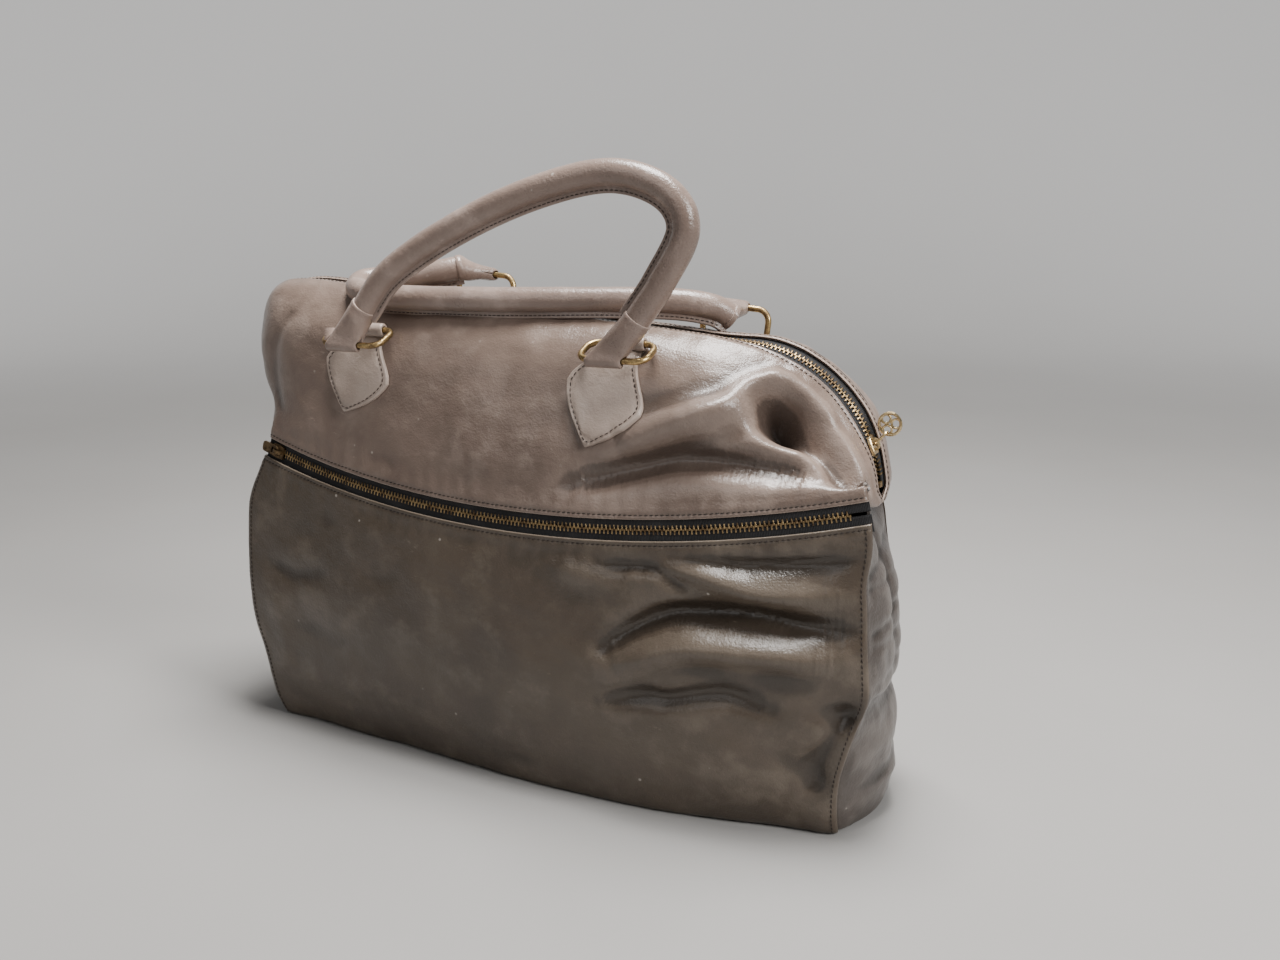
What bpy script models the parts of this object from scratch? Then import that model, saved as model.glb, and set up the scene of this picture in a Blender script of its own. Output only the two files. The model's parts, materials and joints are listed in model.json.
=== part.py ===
"""A slouched leather duffel bag: sewn panels, two zips and two rolled carrying handles.

The bag stands on its base.  +X runs along its length, +Y to its back, +Z up, and the origin is
the middle of the underside.  Lengths are in metres and angles in degrees.
"""

import math

import bmesh
import bpy
import numpy as np

# Leather, lining and board
LEATHER = 0.0020
LINING_THICKNESS = 0.0010
LINING_DEPTH = 0.0062
BOARD_THICKNESS = 0.0016
SEAM_GAP = 0.0004
FIT_GAP = 0.0003
CORE_GAP = 0.0005

# Base
BASE_LENGTH = 0.403
BASE_DEPTH_AT_ENDS = 0.086
BASE_BULGE = 0.020
BASE_BULGE_SKEW = 1.5
BOARD_MARGIN = 0.012

# Front zip: an arc that sags in the middle and leans out from the panel
FRONT_ZIP_END_X = 0.2075
FRONT_ZIP_SHIFT = 0.0045
FRONT_ZIP_END_Y = 0.043
FRONT_ZIP_END_Z = 0.194
FRONT_ZIP_OUTWARD = 0.023
FRONT_ZIP_SAG = 0.0235
FRONT_ZIP_LEAN = 0.10

# Top zip: a ridge line tangent to one arc at each end of the bag
RIGHT_ARC_X = 0.118
RIGHT_ARC_Z = FRONT_ZIP_END_Z - 0.005
RIGHT_ARC_RADIUS = 0.090
LEFT_ARC_X = -0.1680
LEFT_ARC_Z = FRONT_ZIP_END_Z + 0.054
LEFT_ARC_RADIUS = 0.055
RIGHT_ZIP_END_ANGLE = 6.0
LEFT_ZIP_END_ANGLE = 195.0
NOSE_LENGTH = 0.010
PANEL_EDGE = 0.0006

# Zip sections
ZIP_OPENING = 0.0110
CHAIN_WIDTH = 0.0060
CHAIN_THICKNESS = 0.0024
TAPE_THICKNESS = 0.0008
TAPE_UNDER_LEATHER = 0.0050
HEM_WIDTH = 0.0070
HEM_SHARE = 0.10
STOP_LENGTH = 0.0030
STOP_THICKNESS = 0.0034

# Panel shape
UPPER_FULLNESS = 0.56
SHOULDER_FULLNESS = 0.50
SHOULDER_SLOPE = 0.36
LOWER_FULLNESS = 0.36
LOWER_BASE_FLARE = 0.30
RIGHT_SIDE_PUFF = -0.006
LEFT_SIDE_PUFF = 0.001
GUSSET_PUFF_LOW = 0.010
GUSSET_PUFF_TOP = -0.009
GUSSET_TOP_AT_CORNERS = 0.90
GUSSET_TOP_RISE = 0.06

# Zip slider, its link and its charm
LINK_LEAN = 62.0
CHARM_LEAN = 18.0
SLIDER_LENGTH = 0.0105
SLIDER_WIDTH = 0.0094
SLIDER_NOSE_WIDTH = 0.0076
SLIDER_PLATE = 0.0011
SLIDER_CHAMFER = 0.0004
SLIDER_WALL = 0.0006
SLIDER_CLEARANCE = 0.0004
BAIL_LENGTH = 0.0074
BAIL_HEIGHT = 0.0038
BAIL_WIDTH = 0.0022
BAIL_WIRE = 0.0012
LINK_LENGTH = 0.0100
LINK_WIDTH = 0.0058
LINK_WIRE = 0.0013
CHARM_RADIUS = 0.0062
CHARM_WIRE = 0.0019
CHARM_LOBE_RADIUS = 0.0026
CHARM_LOBE_WIRE = 0.0015
TOP_SLIDER_ANGLE = 22.0
FRONT_SLIDER_ANGLE = -17.0
FRONT_PULL_LENGTH = 0.0150
FRONT_PULL_BAR = 0.0012
FRONT_PULL_EYE = 0.0048
FRONT_PULL_WIDTH = 0.0070
FRONT_PULL_THICKNESS = 0.0012

# Handle rings
RING_LENGTH = 0.0420
RING_DEPTH = 0.0210
RING_CORNER = 0.0075
RING_WIRE = 0.0038
RING_CLEARANCE = 0.0005
TAB_SHIFT = -0.0028
LOOP_SHIFT = 0.0030

# Where the rings stand on the upper panels (X, Y), and how far round each ring lies
FRONT_LEFT_SPOT = (-0.1160, -0.0380)
FRONT_RIGHT_SPOT = (0.0600, -0.0300)
FRONT_RING_TILT = 201.0
BACK_LEFT_SPOT = (-0.0760, -0.0300)
BACK_RIGHT_SPOT = (0.1020, -0.0300)
BACK_RING_TILT = 84.0

# Handle tube and end tabs
HANDLE_DIAMETER = 0.0166
HANDLE_SKIN = 0.0018
HANDLE_FLANGE = 0.0034
HANDLE_FLANGE_WIDTH = 0.0034
TAB_WIDTH = 0.0210
TAB_THICKNESS = 0.0088
TAB_BORE = 0.0050

# Leaf patches that carry the rings
LEAF_LENGTH = 0.066
LEAF_WIDTH = 0.050
LEAF_NECK_WIDTH = 0.0205
LEAF_THICKNESS = 0.0026
LEAF_LOOP_THICKNESS = 0.0020
LEAF_CLEARANCE = 0.0005
LEAF_LEAN = -13.0

# Where a shape starts on the leaf: its flat starts this far from the loop and blends over a length
LEAF_START = 0.0040
LEAF_BLEND = 0.0100
LEAF_WIDEST = 0.46
LEAF_EDGE = 0.0006

# Angle past which neighbouring faces meet in a sharp edge
SHARP_ANGLE = 40.0

# Mesh density
ZIP_SEGMENTS = 24
PANEL_ROWS = 7
GUSSET_COLUMNS = 6
GUSSET_ROWS = 6
HANDLE_SEGMENTS = 26
HANDLE_SIDES = 10
RING_SIDES = 10
CHARM_STEPS = 20
CHARM_SIDES = 8
LOBE_STEPS = 14
LOBE_SIDES = 7
TAB_SIDES = 20
LINING_COLUMNS = 12
LEAF_COLUMNS = 6
LEAF_ROWS = 8
LOOP_STEPS = 11


def vec(x, y, z):
    return np.array([x, y, z], dtype=float)


def unit(vector):
    return vector / np.linalg.norm(vector)


def smooth_step(t):
    t = min(max(t, 0.0), 1.0)
    return t * t * (3.0 - 2.0 * t)


def mirrored(point):
    return vec(point[0], -point[1], point[2])


def material(name, colour, roughness, metallic):
    shader = bpy.data.materials.new(name)
    shader.use_nodes = True
    principled = shader.node_tree.nodes["Principled BSDF"]
    principled.inputs["Base Color"].default_value = (*colour, 1.0)
    principled.inputs["Roughness"].default_value = roughness
    principled.inputs["Metallic"].default_value = metallic
    shader.diffuse_color = (*colour, 1.0)
    return shader


def add_object(name, verts, faces, shader, smooth=True):
    mesh = bpy.data.meshes.new(name)
    mesh.from_pydata([tuple(float(c) for c in v) for v in verts], [], faces)
    work = bmesh.new()
    work.from_mesh(mesh)
    bmesh.ops.recalc_face_normals(work, faces=work.faces)
    work.to_mesh(mesh)
    work.free()
    if smooth:
        mesh.shade_smooth()
        mesh.set_sharp_from_angle(angle=math.radians(SHARP_ANGLE))
    mesh.materials.append(shader)
    built = bpy.data.objects.new(name, mesh)
    bpy.context.scene.collection.objects.link(built)
    return built


def set_origin(built, point):
    """Moves an object's origin to a point without moving its surface."""
    offset = np.array(point, dtype=float)
    for vertex in built.data.vertices:
        vertex.co.x -= offset[0]
        vertex.co.y -= offset[1]
        vertex.co.z -= offset[2]
    built.location = tuple(offset)


def loft(loops, closed=False):
    """Skins equal closed loops of points; capped at both ends, or joined into a ring."""
    count = len(loops[0])
    verts = [point for loop in loops for point in loop]
    faces = []
    spans = len(loops) if closed else len(loops) - 1
    for row in range(spans):
        here = row * count
        there = ((row + 1) % len(loops)) * count
        for k in range(count):
            nxt = (k + 1) % count
            faces.append((here + k, here + nxt, there + nxt, there + k))
    if not closed:
        faces.append(tuple(range(count)))
        faces.append(tuple(range((len(loops) - 1) * count, len(loops) * count)))
    return verts, faces


def sheet_solid(outer, inner):
    """A closed sheet between two grids of points with the same rows and columns."""
    rows = len(outer)
    columns = len(outer[0])
    verts = [point for row in outer for point in row]
    verts += [point for row in inner for point in row]
    below = rows * columns
    faces = []
    for r in range(rows - 1):
        for c in range(columns - 1):
            a = r * columns + c
            faces.append((a, a + 1, a + columns + 1, a + columns))
            faces.append((below + a, below + a + columns, below + a + columns + 1, below + a + 1))
    border = [c for c in range(columns)]
    border += [r * columns + columns - 1 for r in range(1, rows)]
    border += [(rows - 1) * columns + c for c in range(columns - 2, -1, -1)]
    border += [r * columns for r in range(rows - 2, 0, -1)]
    for k, a in enumerate(border):
        b = border[(k + 1) % len(border)]
        faces.append((a, below + a, below + b, b))
    return verts, faces


def combine(target, other, operation):
    """Joins or cuts a mesh with another one and removes the other."""
    modifier = target.modifiers.new(operation.lower(), "BOOLEAN")
    modifier.operation = operation
    modifier.object = other
    modifier.solver = "EXACT"
    graph = bpy.context.evaluated_depsgraph_get()
    result = bpy.data.meshes.new_from_object(target.evaluated_get(graph))
    target.modifiers.remove(modifier)
    old = target.data
    result.name = old.name
    target.data = result
    bpy.data.meshes.remove(old)
    bpy.data.objects.remove(other)


# ---------------------------------------------------------------- reference curves

def ridge_tangent_angle():
    """Angle from +X of the normal of the line that touches both end arcs from above."""
    dx = RIGHT_ARC_X - LEFT_ARC_X
    dz = RIGHT_ARC_Z - LEFT_ARC_Z
    span = math.hypot(dx, dz)
    slope = math.atan2(dz, dx) + math.asin((RIGHT_ARC_RADIUS - LEFT_ARC_RADIUS) / span)
    return slope + math.pi / 2


def arc_point(centre_x, centre_z, radius, angle):
    return vec(centre_x + radius * math.cos(angle), 0.0, centre_z + radius * math.sin(angle))


def ridge_lengths():
    """Lengths of the top zip's left arc, straight stretch and right arc."""
    top = ridge_tangent_angle()
    right = RIGHT_ARC_RADIUS * (top - math.radians(RIGHT_ZIP_END_ANGLE))
    left = LEFT_ARC_RADIUS * (math.radians(LEFT_ZIP_END_ANGLE) - top)
    a = arc_point(LEFT_ARC_X, LEFT_ARC_Z, LEFT_ARC_RADIUS, top)
    b = arc_point(RIGHT_ARC_X, RIGHT_ARC_Z, RIGHT_ARC_RADIUS, top)
    return left, float(np.linalg.norm(b - a)), right


def ridge_frame(distance):
    """Point, tangent and outward normal on the ridge; distance runs left to right from the zip's
    left end, and may pass either end of the zip to reach the nose."""
    left, straight = ridge_lengths()[:2]
    top = ridge_tangent_angle()
    if distance < left:
        angle = math.radians(LEFT_ZIP_END_ANGLE) - distance / LEFT_ARC_RADIUS
        point = arc_point(LEFT_ARC_X, LEFT_ARC_Z, LEFT_ARC_RADIUS, angle)
    elif distance <= left + straight:
        angle = top
        start = arc_point(LEFT_ARC_X, LEFT_ARC_Z, LEFT_ARC_RADIUS, top)
        point = start + vec(math.sin(top), 0.0, -math.cos(top)) * (distance - left)
    else:
        angle = top - (distance - left - straight) / RIGHT_ARC_RADIUS
        point = arc_point(RIGHT_ARC_X, RIGHT_ARC_Z, RIGHT_ARC_RADIUS, angle)
    normal = vec(math.cos(angle), 0.0, math.sin(angle))
    tangent = vec(math.sin(angle), 0.0, -math.cos(angle))
    return point, tangent, normal


def ridge_zip_length():
    return sum(ridge_lengths())


def ridge_half_opening(distance):
    """Half the slit between the upper panels, closing to a seam past the zip's ends."""
    past = max(-distance, distance - ridge_zip_length())
    closing = smooth_step(past / (NOSE_LENGTH * 0.8))
    return ZIP_OPENING / 2 * (1.0 - closing) + SEAM_GAP * closing


def front_zip_circle():
    """Centre, radius, axis and half angle of the arc that the front zip follows."""
    chord = 2 * FRONT_ZIP_END_X
    rise = math.hypot(FRONT_ZIP_OUTWARD, FRONT_ZIP_SAG)
    radius = (chord * chord / 4 + rise * rise) / (2 * rise)
    sag = vec(0.0, -FRONT_ZIP_OUTWARD, -FRONT_ZIP_SAG) / rise
    middle = vec(FRONT_ZIP_SHIFT, -FRONT_ZIP_END_Y, FRONT_ZIP_END_Z) + sag * rise
    centre = middle - sag * radius
    axis = np.cross(vec(1.0, 0.0, 0.0), sag)
    half_angle = math.asin(FRONT_ZIP_END_X / radius)
    return centre, radius, axis, half_angle, sag


def turn(vector, axis, angle):
    c = math.cos(angle)
    s = math.sin(angle)
    return vector * c + np.cross(axis, vector) * s + axis * np.dot(axis, vector) * (1.0 - c)


def front_zip_frame(angle):
    """Point, tangent, outward normal and upward width direction at an angle from the middle."""
    centre, radius, axis = front_zip_circle()[:3]
    sag = front_zip_circle()[4]
    width = unit(vec(0.0, FRONT_ZIP_LEAN, 1.0))
    spoke = turn(sag, axis, -angle)
    point = centre + spoke * radius
    tangent = turn(vec(1.0, 0.0, 0.0), axis, -angle)
    width = turn(width, axis, -angle)
    width = unit(width - tangent * np.dot(width, tangent))
    normal = np.cross(tangent, width)
    return point, tangent, normal, width


def ridge_stations():
    """Distances along the ridge shared by the panels, tapes and chain, from nose to nose."""
    length = ridge_zip_length()
    end = NOSE_LENGTH - PANEL_EDGE
    return [-end] + spread(0.0, length, ZIP_SEGMENTS) + [length + end]


def panel_columns():
    """Panel coordinate u of every shared station."""
    span = ridge_zip_length() + 2 * NOSE_LENGTH
    return [(distance + NOSE_LENGTH) / span for distance in ridge_stations()]


def spread(start, stop, count):
    return [start + (stop - start) * k / count for k in range(count + 1)]


def front_zip_at(u):
    half_angle = front_zip_circle()[3]
    return front_zip_frame((2.0 * u - 1.0) * half_angle)


# ---------------------------------------------------------------- panels

def bezier(a, b, c, d, t):
    s = 1.0 - t
    return a * s ** 3 + b * 3 * s * s * t + c * 3 * s * t * t + d * t ** 3


def base_edge(u):
    """Front edge of the base, left to right."""
    bulge = BASE_BULGE * math.sin(math.pi * u ** BASE_BULGE_SKEW)
    x = BASE_LENGTH * (u - 0.5)
    return vec(x, -(BASE_DEPTH_AT_ENDS / 2 + bulge), SEAM_GAP)


def upper_panel_point(u, v, opening=ZIP_OPENING):
    """Front upper panel: v runs from the front zip (0) to the ridge (1).  The opening is the gap
    between this panel and the lower one."""
    point, width = front_zip_at(u)[0], front_zip_at(u)[3]
    low_edge = point + width * opening / 2
    low_hem = point + width * (opening / 2 + HEM_WIDTH)
    distance = -NOSE_LENGTH + u * (ridge_zip_length() + 2 * NOSE_LENGTH)
    ridge = ridge_frame(distance)[0]
    outward = ridge_frame(distance)[2]
    half = ridge_half_opening(distance)
    top_edge = ridge + vec(0.0, -half, 0.0)
    top_hem = top_edge + vec(0.0, -HEM_WIDTH, 0.0)
    if v <= HEM_SHARE:
        return low_edge + (low_hem - low_edge) * v / HEM_SHARE
    if v >= 1.0 - HEM_SHARE:
        return top_edge + (top_hem - top_edge) * (1.0 - v) / HEM_SHARE
    t = (v - HEM_SHARE) / (1.0 - 2 * HEM_SHARE)
    rise = top_hem - low_hem
    reach_low = UPPER_FULLNESS * max(abs(rise[2]), 0.012)
    reach_top = SHOULDER_FULLNESS * max(abs(rise[1]), 0.012)
    shoulder = vec(0.0, -1.0, 0.0) - outward * SHOULDER_SLOPE
    return bezier(low_hem, low_hem + width * reach_low, top_hem + shoulder * reach_top,
                  top_hem, t)


def lower_panel_point(u, v, opening=ZIP_OPENING):
    """Front lower panel: v runs from the base (0) to the front zip (1)."""
    point, width = front_zip_at(u)[0], front_zip_at(u)[3]
    top_edge = point - width * opening / 2
    top_hem = point - width * (opening / 2 + HEM_WIDTH)
    low_edge = base_edge(u)
    if v >= 1.0 - HEM_SHARE:
        return top_edge + (top_hem - top_edge) * (1.0 - v) / HEM_SHARE
    t = v / (1.0 - HEM_SHARE)
    height = top_hem[2] - low_edge[2]
    flare = unit(vec(0.0, -LOWER_BASE_FLARE, 1.0))
    placed = bezier(low_edge, low_edge + flare * height * LOWER_FULLNESS,
                    top_hem - width * height * LOWER_FULLNESS, top_hem, t)
    side = (2.0 * u - 1.0) ** 5
    puff = RIGHT_SIDE_PUFF if side > 0 else LEFT_SIDE_PUFF
    placed[0] += side * puff * math.sin(math.pi * t)
    return placed


def back_lower_point(u, v):
    return mirrored(lower_panel_point(u, v, SEAM_GAP))


def back_upper_point(u, v):
    return mirrored(upper_panel_point(u, v, SEAM_GAP))


def front_zip_stations():
    """Angles along the front zip at the panels' own columns."""
    half_angle = front_zip_circle()[3]
    return [(2.0 * u - 1.0) * half_angle for u in panel_columns()]


def surface_normal(surface, u, v, toward):
    """Unit normal of a surface function, on the side of the given direction."""
    step = 0.002
    u0 = max(u - step, 0.0)
    u1 = min(u + step, 1.0)
    v0 = max(v - step, 0.0)
    v1 = min(v + step, 1.0)
    across = surface(u1, v) - surface(u0, v)
    up = surface(u, v1) - surface(u, v0)
    normal = unit(np.cross(across, up))
    return normal if np.dot(normal, toward) > 0 else -normal


def panel_grid(surface, us, vs, depth, toward):
    grid = []
    for v in vs:
        row = []
        for u in us:
            row.append(surface(u, v) - surface_normal(surface, u, v, toward) * depth)
        grid.append(row)
    return grid


def upper_rows():
    return [0.0, 0.10] + spread(0.10, 0.90, PANEL_ROWS)[1:] + [1.0]


def lower_rows():
    return spread(0.0, 0.90, PANEL_ROWS) + [1.0]


def make_panel(name, surface, rows, toward, shader):
    columns = panel_columns()
    outer = panel_grid(surface, columns, rows, 0.0, toward)
    inner = panel_grid(surface, columns, rows, LEATHER, toward)
    for row in inner:
        for point in row:
            point[2] = max(point[2], SEAM_GAP)
    verts, faces = sheet_solid(outer, inner)
    return add_object(name, verts, faces, shader)


def gusset_point(side, across, share):
    """End gusset: across runs from the front (-1) to the back (1), share from the base to the
    top edge, which rises in the middle to meet the zip's nose."""
    u = 1.0 if side > 0 else 0.0
    v = share * (GUSSET_TOP_AT_CORNERS + GUSSET_TOP_RISE * (1.0 - across * across))
    edge = lower_panel_point(u, v)
    inset = LEATHER + 2 * SEAM_GAP
    half_depth = -edge[1] - inset
    puff = GUSSET_PUFF_LOW + (GUSSET_PUFF_TOP - GUSSET_PUFF_LOW) * v * v
    x = edge[0] + side * (puff * (1.0 - across * across) - SEAM_GAP)
    return vec(x, across * half_depth, edge[2])


def make_gusset(name, side, shader):
    inner_shift = vec(-side * LEATHER, 0.0, 0.0)
    outer = []
    inner = []
    for share in spread(0.0, 1.0, GUSSET_ROWS):
        row = [gusset_point(side, a, share) for a in spread(-1.0, 1.0, GUSSET_COLUMNS)]
        outer.append(row)
        inner.append([point + inner_shift for point in row])
    verts, faces = sheet_solid(outer, inner)
    return add_object(name, verts, faces, shader)


def base_outline(inset):
    """Closed outline of the base, drawn in from the panels by an inset."""
    front = []
    for u in panel_columns():
        point = base_edge(u)
        x = point[0] * (BASE_LENGTH / 2 - inset) / (BASE_LENGTH / 2)
        front.append((x, point[1] + inset))
    back = [(x, -y) for x, y in reversed(front)]
    return front + back


def make_flat(name, outline, bottom, top, shader):
    low = [vec(x, y, bottom) for x, y in outline]
    high = [vec(x, y, top) for x, y in outline]
    verts, faces = loft([low, high])
    return add_object(name, verts, faces, shader)


def lining_loop(v_kind, v, depth):
    surface = lower_panel_point if v_kind == "lower" else upper_panel_point
    toward = vec(0.0, -1.0, 0.6)
    margin = 0.055
    front = []
    for u in spread(margin, 1.0 - margin, LINING_COLUMNS):
        front.append(surface(u, v) - surface_normal(surface, u, v, toward) * depth)
    return front + [mirrored(point) for point in reversed(front)]


def make_lining(shader):
    """A thin cup inside the panels, open along the top zip."""
    stations = [("lower", v) for v in (0.04, 0.2, 0.4, 0.6, 0.8, 0.93)]
    stations += [("upper", v) for v in (0.07, 0.25, 0.45, 0.65, 0.82)]
    outside = [lining_loop(kind, v, LINING_DEPTH) for kind, v in stations]
    inside = [lining_loop(kind, v, LINING_DEPTH + LINING_THICKNESS) for kind, v in stations]
    for point in inside[0]:
        point[2] += LINING_THICKNESS
    verts, faces = loft(outside + list(reversed(inside)))
    return add_object("lining", verts, faces, shader)


# ---------------------------------------------------------------- zips

def section_loop(point, normal, width, low, high, left, right):
    """Rectangle in a zip's cross-section: low and high along the normal."""
    return [point + normal * low + width * left, point + normal * low + width * right,
            point + normal * high + width * right, point + normal * high + width * left]


def tape_depths():
    top = -(LEATHER + FIT_GAP)
    return top - TAPE_THICKNESS, top


def chain_depths():
    low, high = tape_depths()
    middle = (low + high) / 2
    return middle - CHAIN_THICKNESS / 2, middle + CHAIN_THICKNESS / 2


def ridge_section(distance, low, high, left, right):
    point, normal = ridge_frame(distance)[0], ridge_frame(distance)[2]
    return section_loop(point, normal, vec(0.0, 1.0, 0.0), low, high, left, right)


def front_section(angle, low, high, left, right):
    point, normal, width = front_zip_frame(angle)[0], *front_zip_frame(angle)[2:]
    return section_loop(point, normal, width, low, high, left, right)


def make_zip(prefix, section, stations, step, names, cloth, brass):
    """Two tapes, the closed chain and its end stops along one zip."""
    start = stations[0]
    stop = stations[-1]
    low, high = tape_depths()
    inner = CHAIN_WIDTH / 2 + FIT_GAP
    outer = ZIP_OPENING / 2 + TAPE_UNDER_LEATHER
    for side, name in zip((-1, 1), names):
        left, right = sorted((side * inner, side * outer))
        verts, faces = loft([section(s, low, high, left, right) for s in stations])
        add_object(f"{prefix}_tape_{name}", verts, faces, cloth)
    low, high = chain_depths()
    gap = step * (STOP_LENGTH + FIT_GAP)
    inside = [start + gap] + stations[1:-1] + [stop - gap]
    half = CHAIN_WIDTH / 2
    verts, faces = loft([section(s, low, high, -half, half) for s in inside])
    add_object(f"{prefix}_chain", verts, faces, brass)
    middle = (low + high) / 2
    half = CHAIN_WIDTH / 2
    for label, at, sense in (("left", start, 1), ("right", stop, -1)):
        ends = (at, at + sense * step * STOP_LENGTH)
        verts, faces = loft([section(s, middle - STOP_THICKNESS / 2, middle + STOP_THICKNESS / 2,
                                     -half, half) for s in ends])
        add_object(f"{prefix}_stop_{label}", verts, faces, brass)


def placed(local_points, origin, tangent, width, normal):
    """Local (along, across, out) points in a zip's frame."""
    return [origin + tangent * p[0] + width * p[1] + normal * p[2] for p in local_points]


def tube(path, radius, sides, closed, up):
    """Round tube along a list of points; up fixes the section's turn."""
    loops = []
    count = len(path)
    for k, point in enumerate(path):
        before = path[(k - 1) % count] if closed or k > 0 else point
        after = path[(k + 1) % count] if closed or k < count - 1 else point
        tangent = unit(after - before)
        side = unit(np.cross(tangent, up))
        over = np.cross(side, tangent)
        loop = []
        for j in range(sides):
            angle = 2 * math.pi * j / sides
            loop.append(point + side * radius * math.cos(angle) + over * radius * math.sin(angle))
        loops.append(loop)
    return loft(loops, closed)


def oval_path(length, depth, corner, per_corner):
    """Rounded rectangle in the local XY plane, centred on the middle."""
    path = []
    corners = ((1, 1, 0), (-1, 1, 90), (-1, -1, 180), (1, -1, 270))
    for sx, sy, start in corners:
        cx = sx * (length / 2 - corner)
        cy = sy * (depth / 2 - corner)
        for k in range(per_corner + 1):
            angle = math.radians(start + 90.0 * k / per_corner)
            path.append((cx + corner * math.cos(angle), cy + corner * math.sin(angle)))
    return path


def make_slider(name, frame, brass):
    """Slider body over the chain: a tapered plate with side flanges and a bridge for the pull."""
    point, tangent, normal, width = frame
    high = chain_depths()[1]
    inside = CHAIN_WIDTH / 2 + SLIDER_CLEARANCE
    under = tape_depths()[1] + SLIDER_CLEARANCE
    roof = high + SLIDER_CLEARANCE
    top = roof + SLIDER_PLATE
    loops = []
    chamfer = SLIDER_CHAMFER
    nose = SLIDER_NOSE_WIDTH / 2 + chamfer
    full = SLIDER_WIDTH / 2
    for along, half in ((-0.5, nose), (-0.38, full - SLIDER_WALL), (-0.1, full), (0.3, full),
                        (0.5, nose)):
        half = max(half, inside + SLIDER_WALL)
        section = [(-half, under), (-half, top - chamfer), (-half + chamfer, top),
                   (half - chamfer, top), (half, top - chamfer), (half, under),
                   (inside, under), (inside, roof), (-inside, roof), (-inside, under)]
        local = [(along * SLIDER_LENGTH, across, out) for across, out in section]
        loops.append(placed(local, point, tangent, width, normal))
    verts, faces = loft(loops)
    body = add_object(name, verts, faces, brass)
    arch = []
    half_length = BAIL_LENGTH / 2
    sunk = top - SLIDER_PLATE / 2
    for k in range(9):
        angle = math.pi * k / 8
        arch.append((half_length * math.cos(angle), sunk + BAIL_HEIGHT * math.sin(angle) ** 0.7))
    for k in range(8, -1, -1):
        angle = math.pi * k / 8
        arch.append(((half_length - BAIL_WIRE) * math.cos(angle),
                     sunk + (BAIL_HEIGHT - BAIL_WIRE) * math.sin(angle) ** 0.7))
    loops = []
    for across in (-BAIL_WIDTH / 2, BAIL_WIDTH / 2):
        local = [(along, across, out) for along, out in arch]
        loops.append(placed(local, point, tangent, width, normal))
    verts, faces = loft(loops)
    bail = add_object(name + "_bail", verts, faces, brass)
    combine(body, bail, "UNION")
    body.data.shade_smooth()
    body.data.set_sharp_from_angle(angle=math.radians(SHARP_ANGLE))
    return body


def bail_crown(frame):
    """Centre of the hole under the slider's bridge."""
    point, normal = frame[0], frame[2]
    top = chain_depths()[1] + SLIDER_CLEARANCE + SLIDER_PLATE
    return point + normal * (top - SLIDER_PLATE / 2 + BAIL_HEIGHT - BAIL_WIRE - LINK_WIRE / 2
                             - 2 * FIT_GAP)


def top_slider_frame():
    angle = math.radians(TOP_SLIDER_ANGLE)
    point = arc_point(RIGHT_ARC_X, RIGHT_ARC_Z, RIGHT_ARC_RADIUS, angle)
    normal = vec(math.cos(angle), 0.0, math.sin(angle))
    tangent = vec(math.sin(angle), 0.0, -math.cos(angle))
    return point, tangent, normal, vec(0.0, 1.0, 0.0)


def front_slider_frame():
    point, tangent, normal, width = front_zip_frame(math.radians(FRONT_SLIDER_ANGLE))
    return point, -tangent, normal, width



def make_top_pull(brass):
    """Oval link through the bridge, and a round openwork charm hung on the link."""
    frame = top_slider_frame()
    tangent, normal, width = frame[1:]
    pivot = bail_crown(frame)
    lean = math.radians(LINK_LEAN)
    reach = tangent * math.cos(lean) * -1.0 + normal * math.sin(lean)
    reach = unit(reach)
    path = []
    for along, across in oval_path(LINK_LENGTH, LINK_WIDTH, LINK_WIDTH * 0.48, 5):
        path.append(pivot + reach * (along + LINK_LENGTH / 2) + width * across)
    over = np.cross(reach, width)
    verts, faces = tube(path, LINK_WIRE / 2, 8, True, over)
    link = add_object("top_zip_link", verts, faces, brass)
    set_origin(link, pivot)
    far = pivot + reach * LINK_LENGTH
    out = unit(turn(reach, width, math.radians(-CHARM_LEAN)))
    hooked = (LINK_WIRE + CHARM_WIRE) / 2 + FIT_GAP
    hub = far - reach * hooked + out * CHARM_RADIUS
    face = np.cross(out, width)
    ring = []
    for k in range(CHARM_STEPS):
        angle = 2 * math.pi * k / CHARM_STEPS
        ring.append(hub + out * CHARM_RADIUS * math.cos(angle) + face * CHARM_RADIUS * math.sin(angle))
    verts, faces = tube(ring, CHARM_WIRE / 2, CHARM_SIDES, True, width)
    charm = add_object("top_zip_charm", verts, faces, brass)
    for lobe in range(3):
        turn_angle = math.radians(120.0 * lobe + 60.0)
        reach_out = CHARM_RADIUS - CHARM_LOBE_RADIUS
        centre = hub + (out * math.cos(turn_angle) + face * math.sin(turn_angle)) * reach_out
        ring = []
        for k in range(LOBE_STEPS):
            angle = 2 * math.pi * (k + 0.37) / LOBE_STEPS
            ring.append(centre + (out * math.cos(angle) + face * math.sin(angle)) * CHARM_LOBE_RADIUS)
        verts, faces = tube(ring, CHARM_LOBE_WIRE / 2, LOBE_SIDES, True, width)
        combine(charm, add_object("lobe", verts, faces, brass), "UNION")
    set_origin(charm, far - reach * hooked / 2)
    return link, charm


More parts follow.
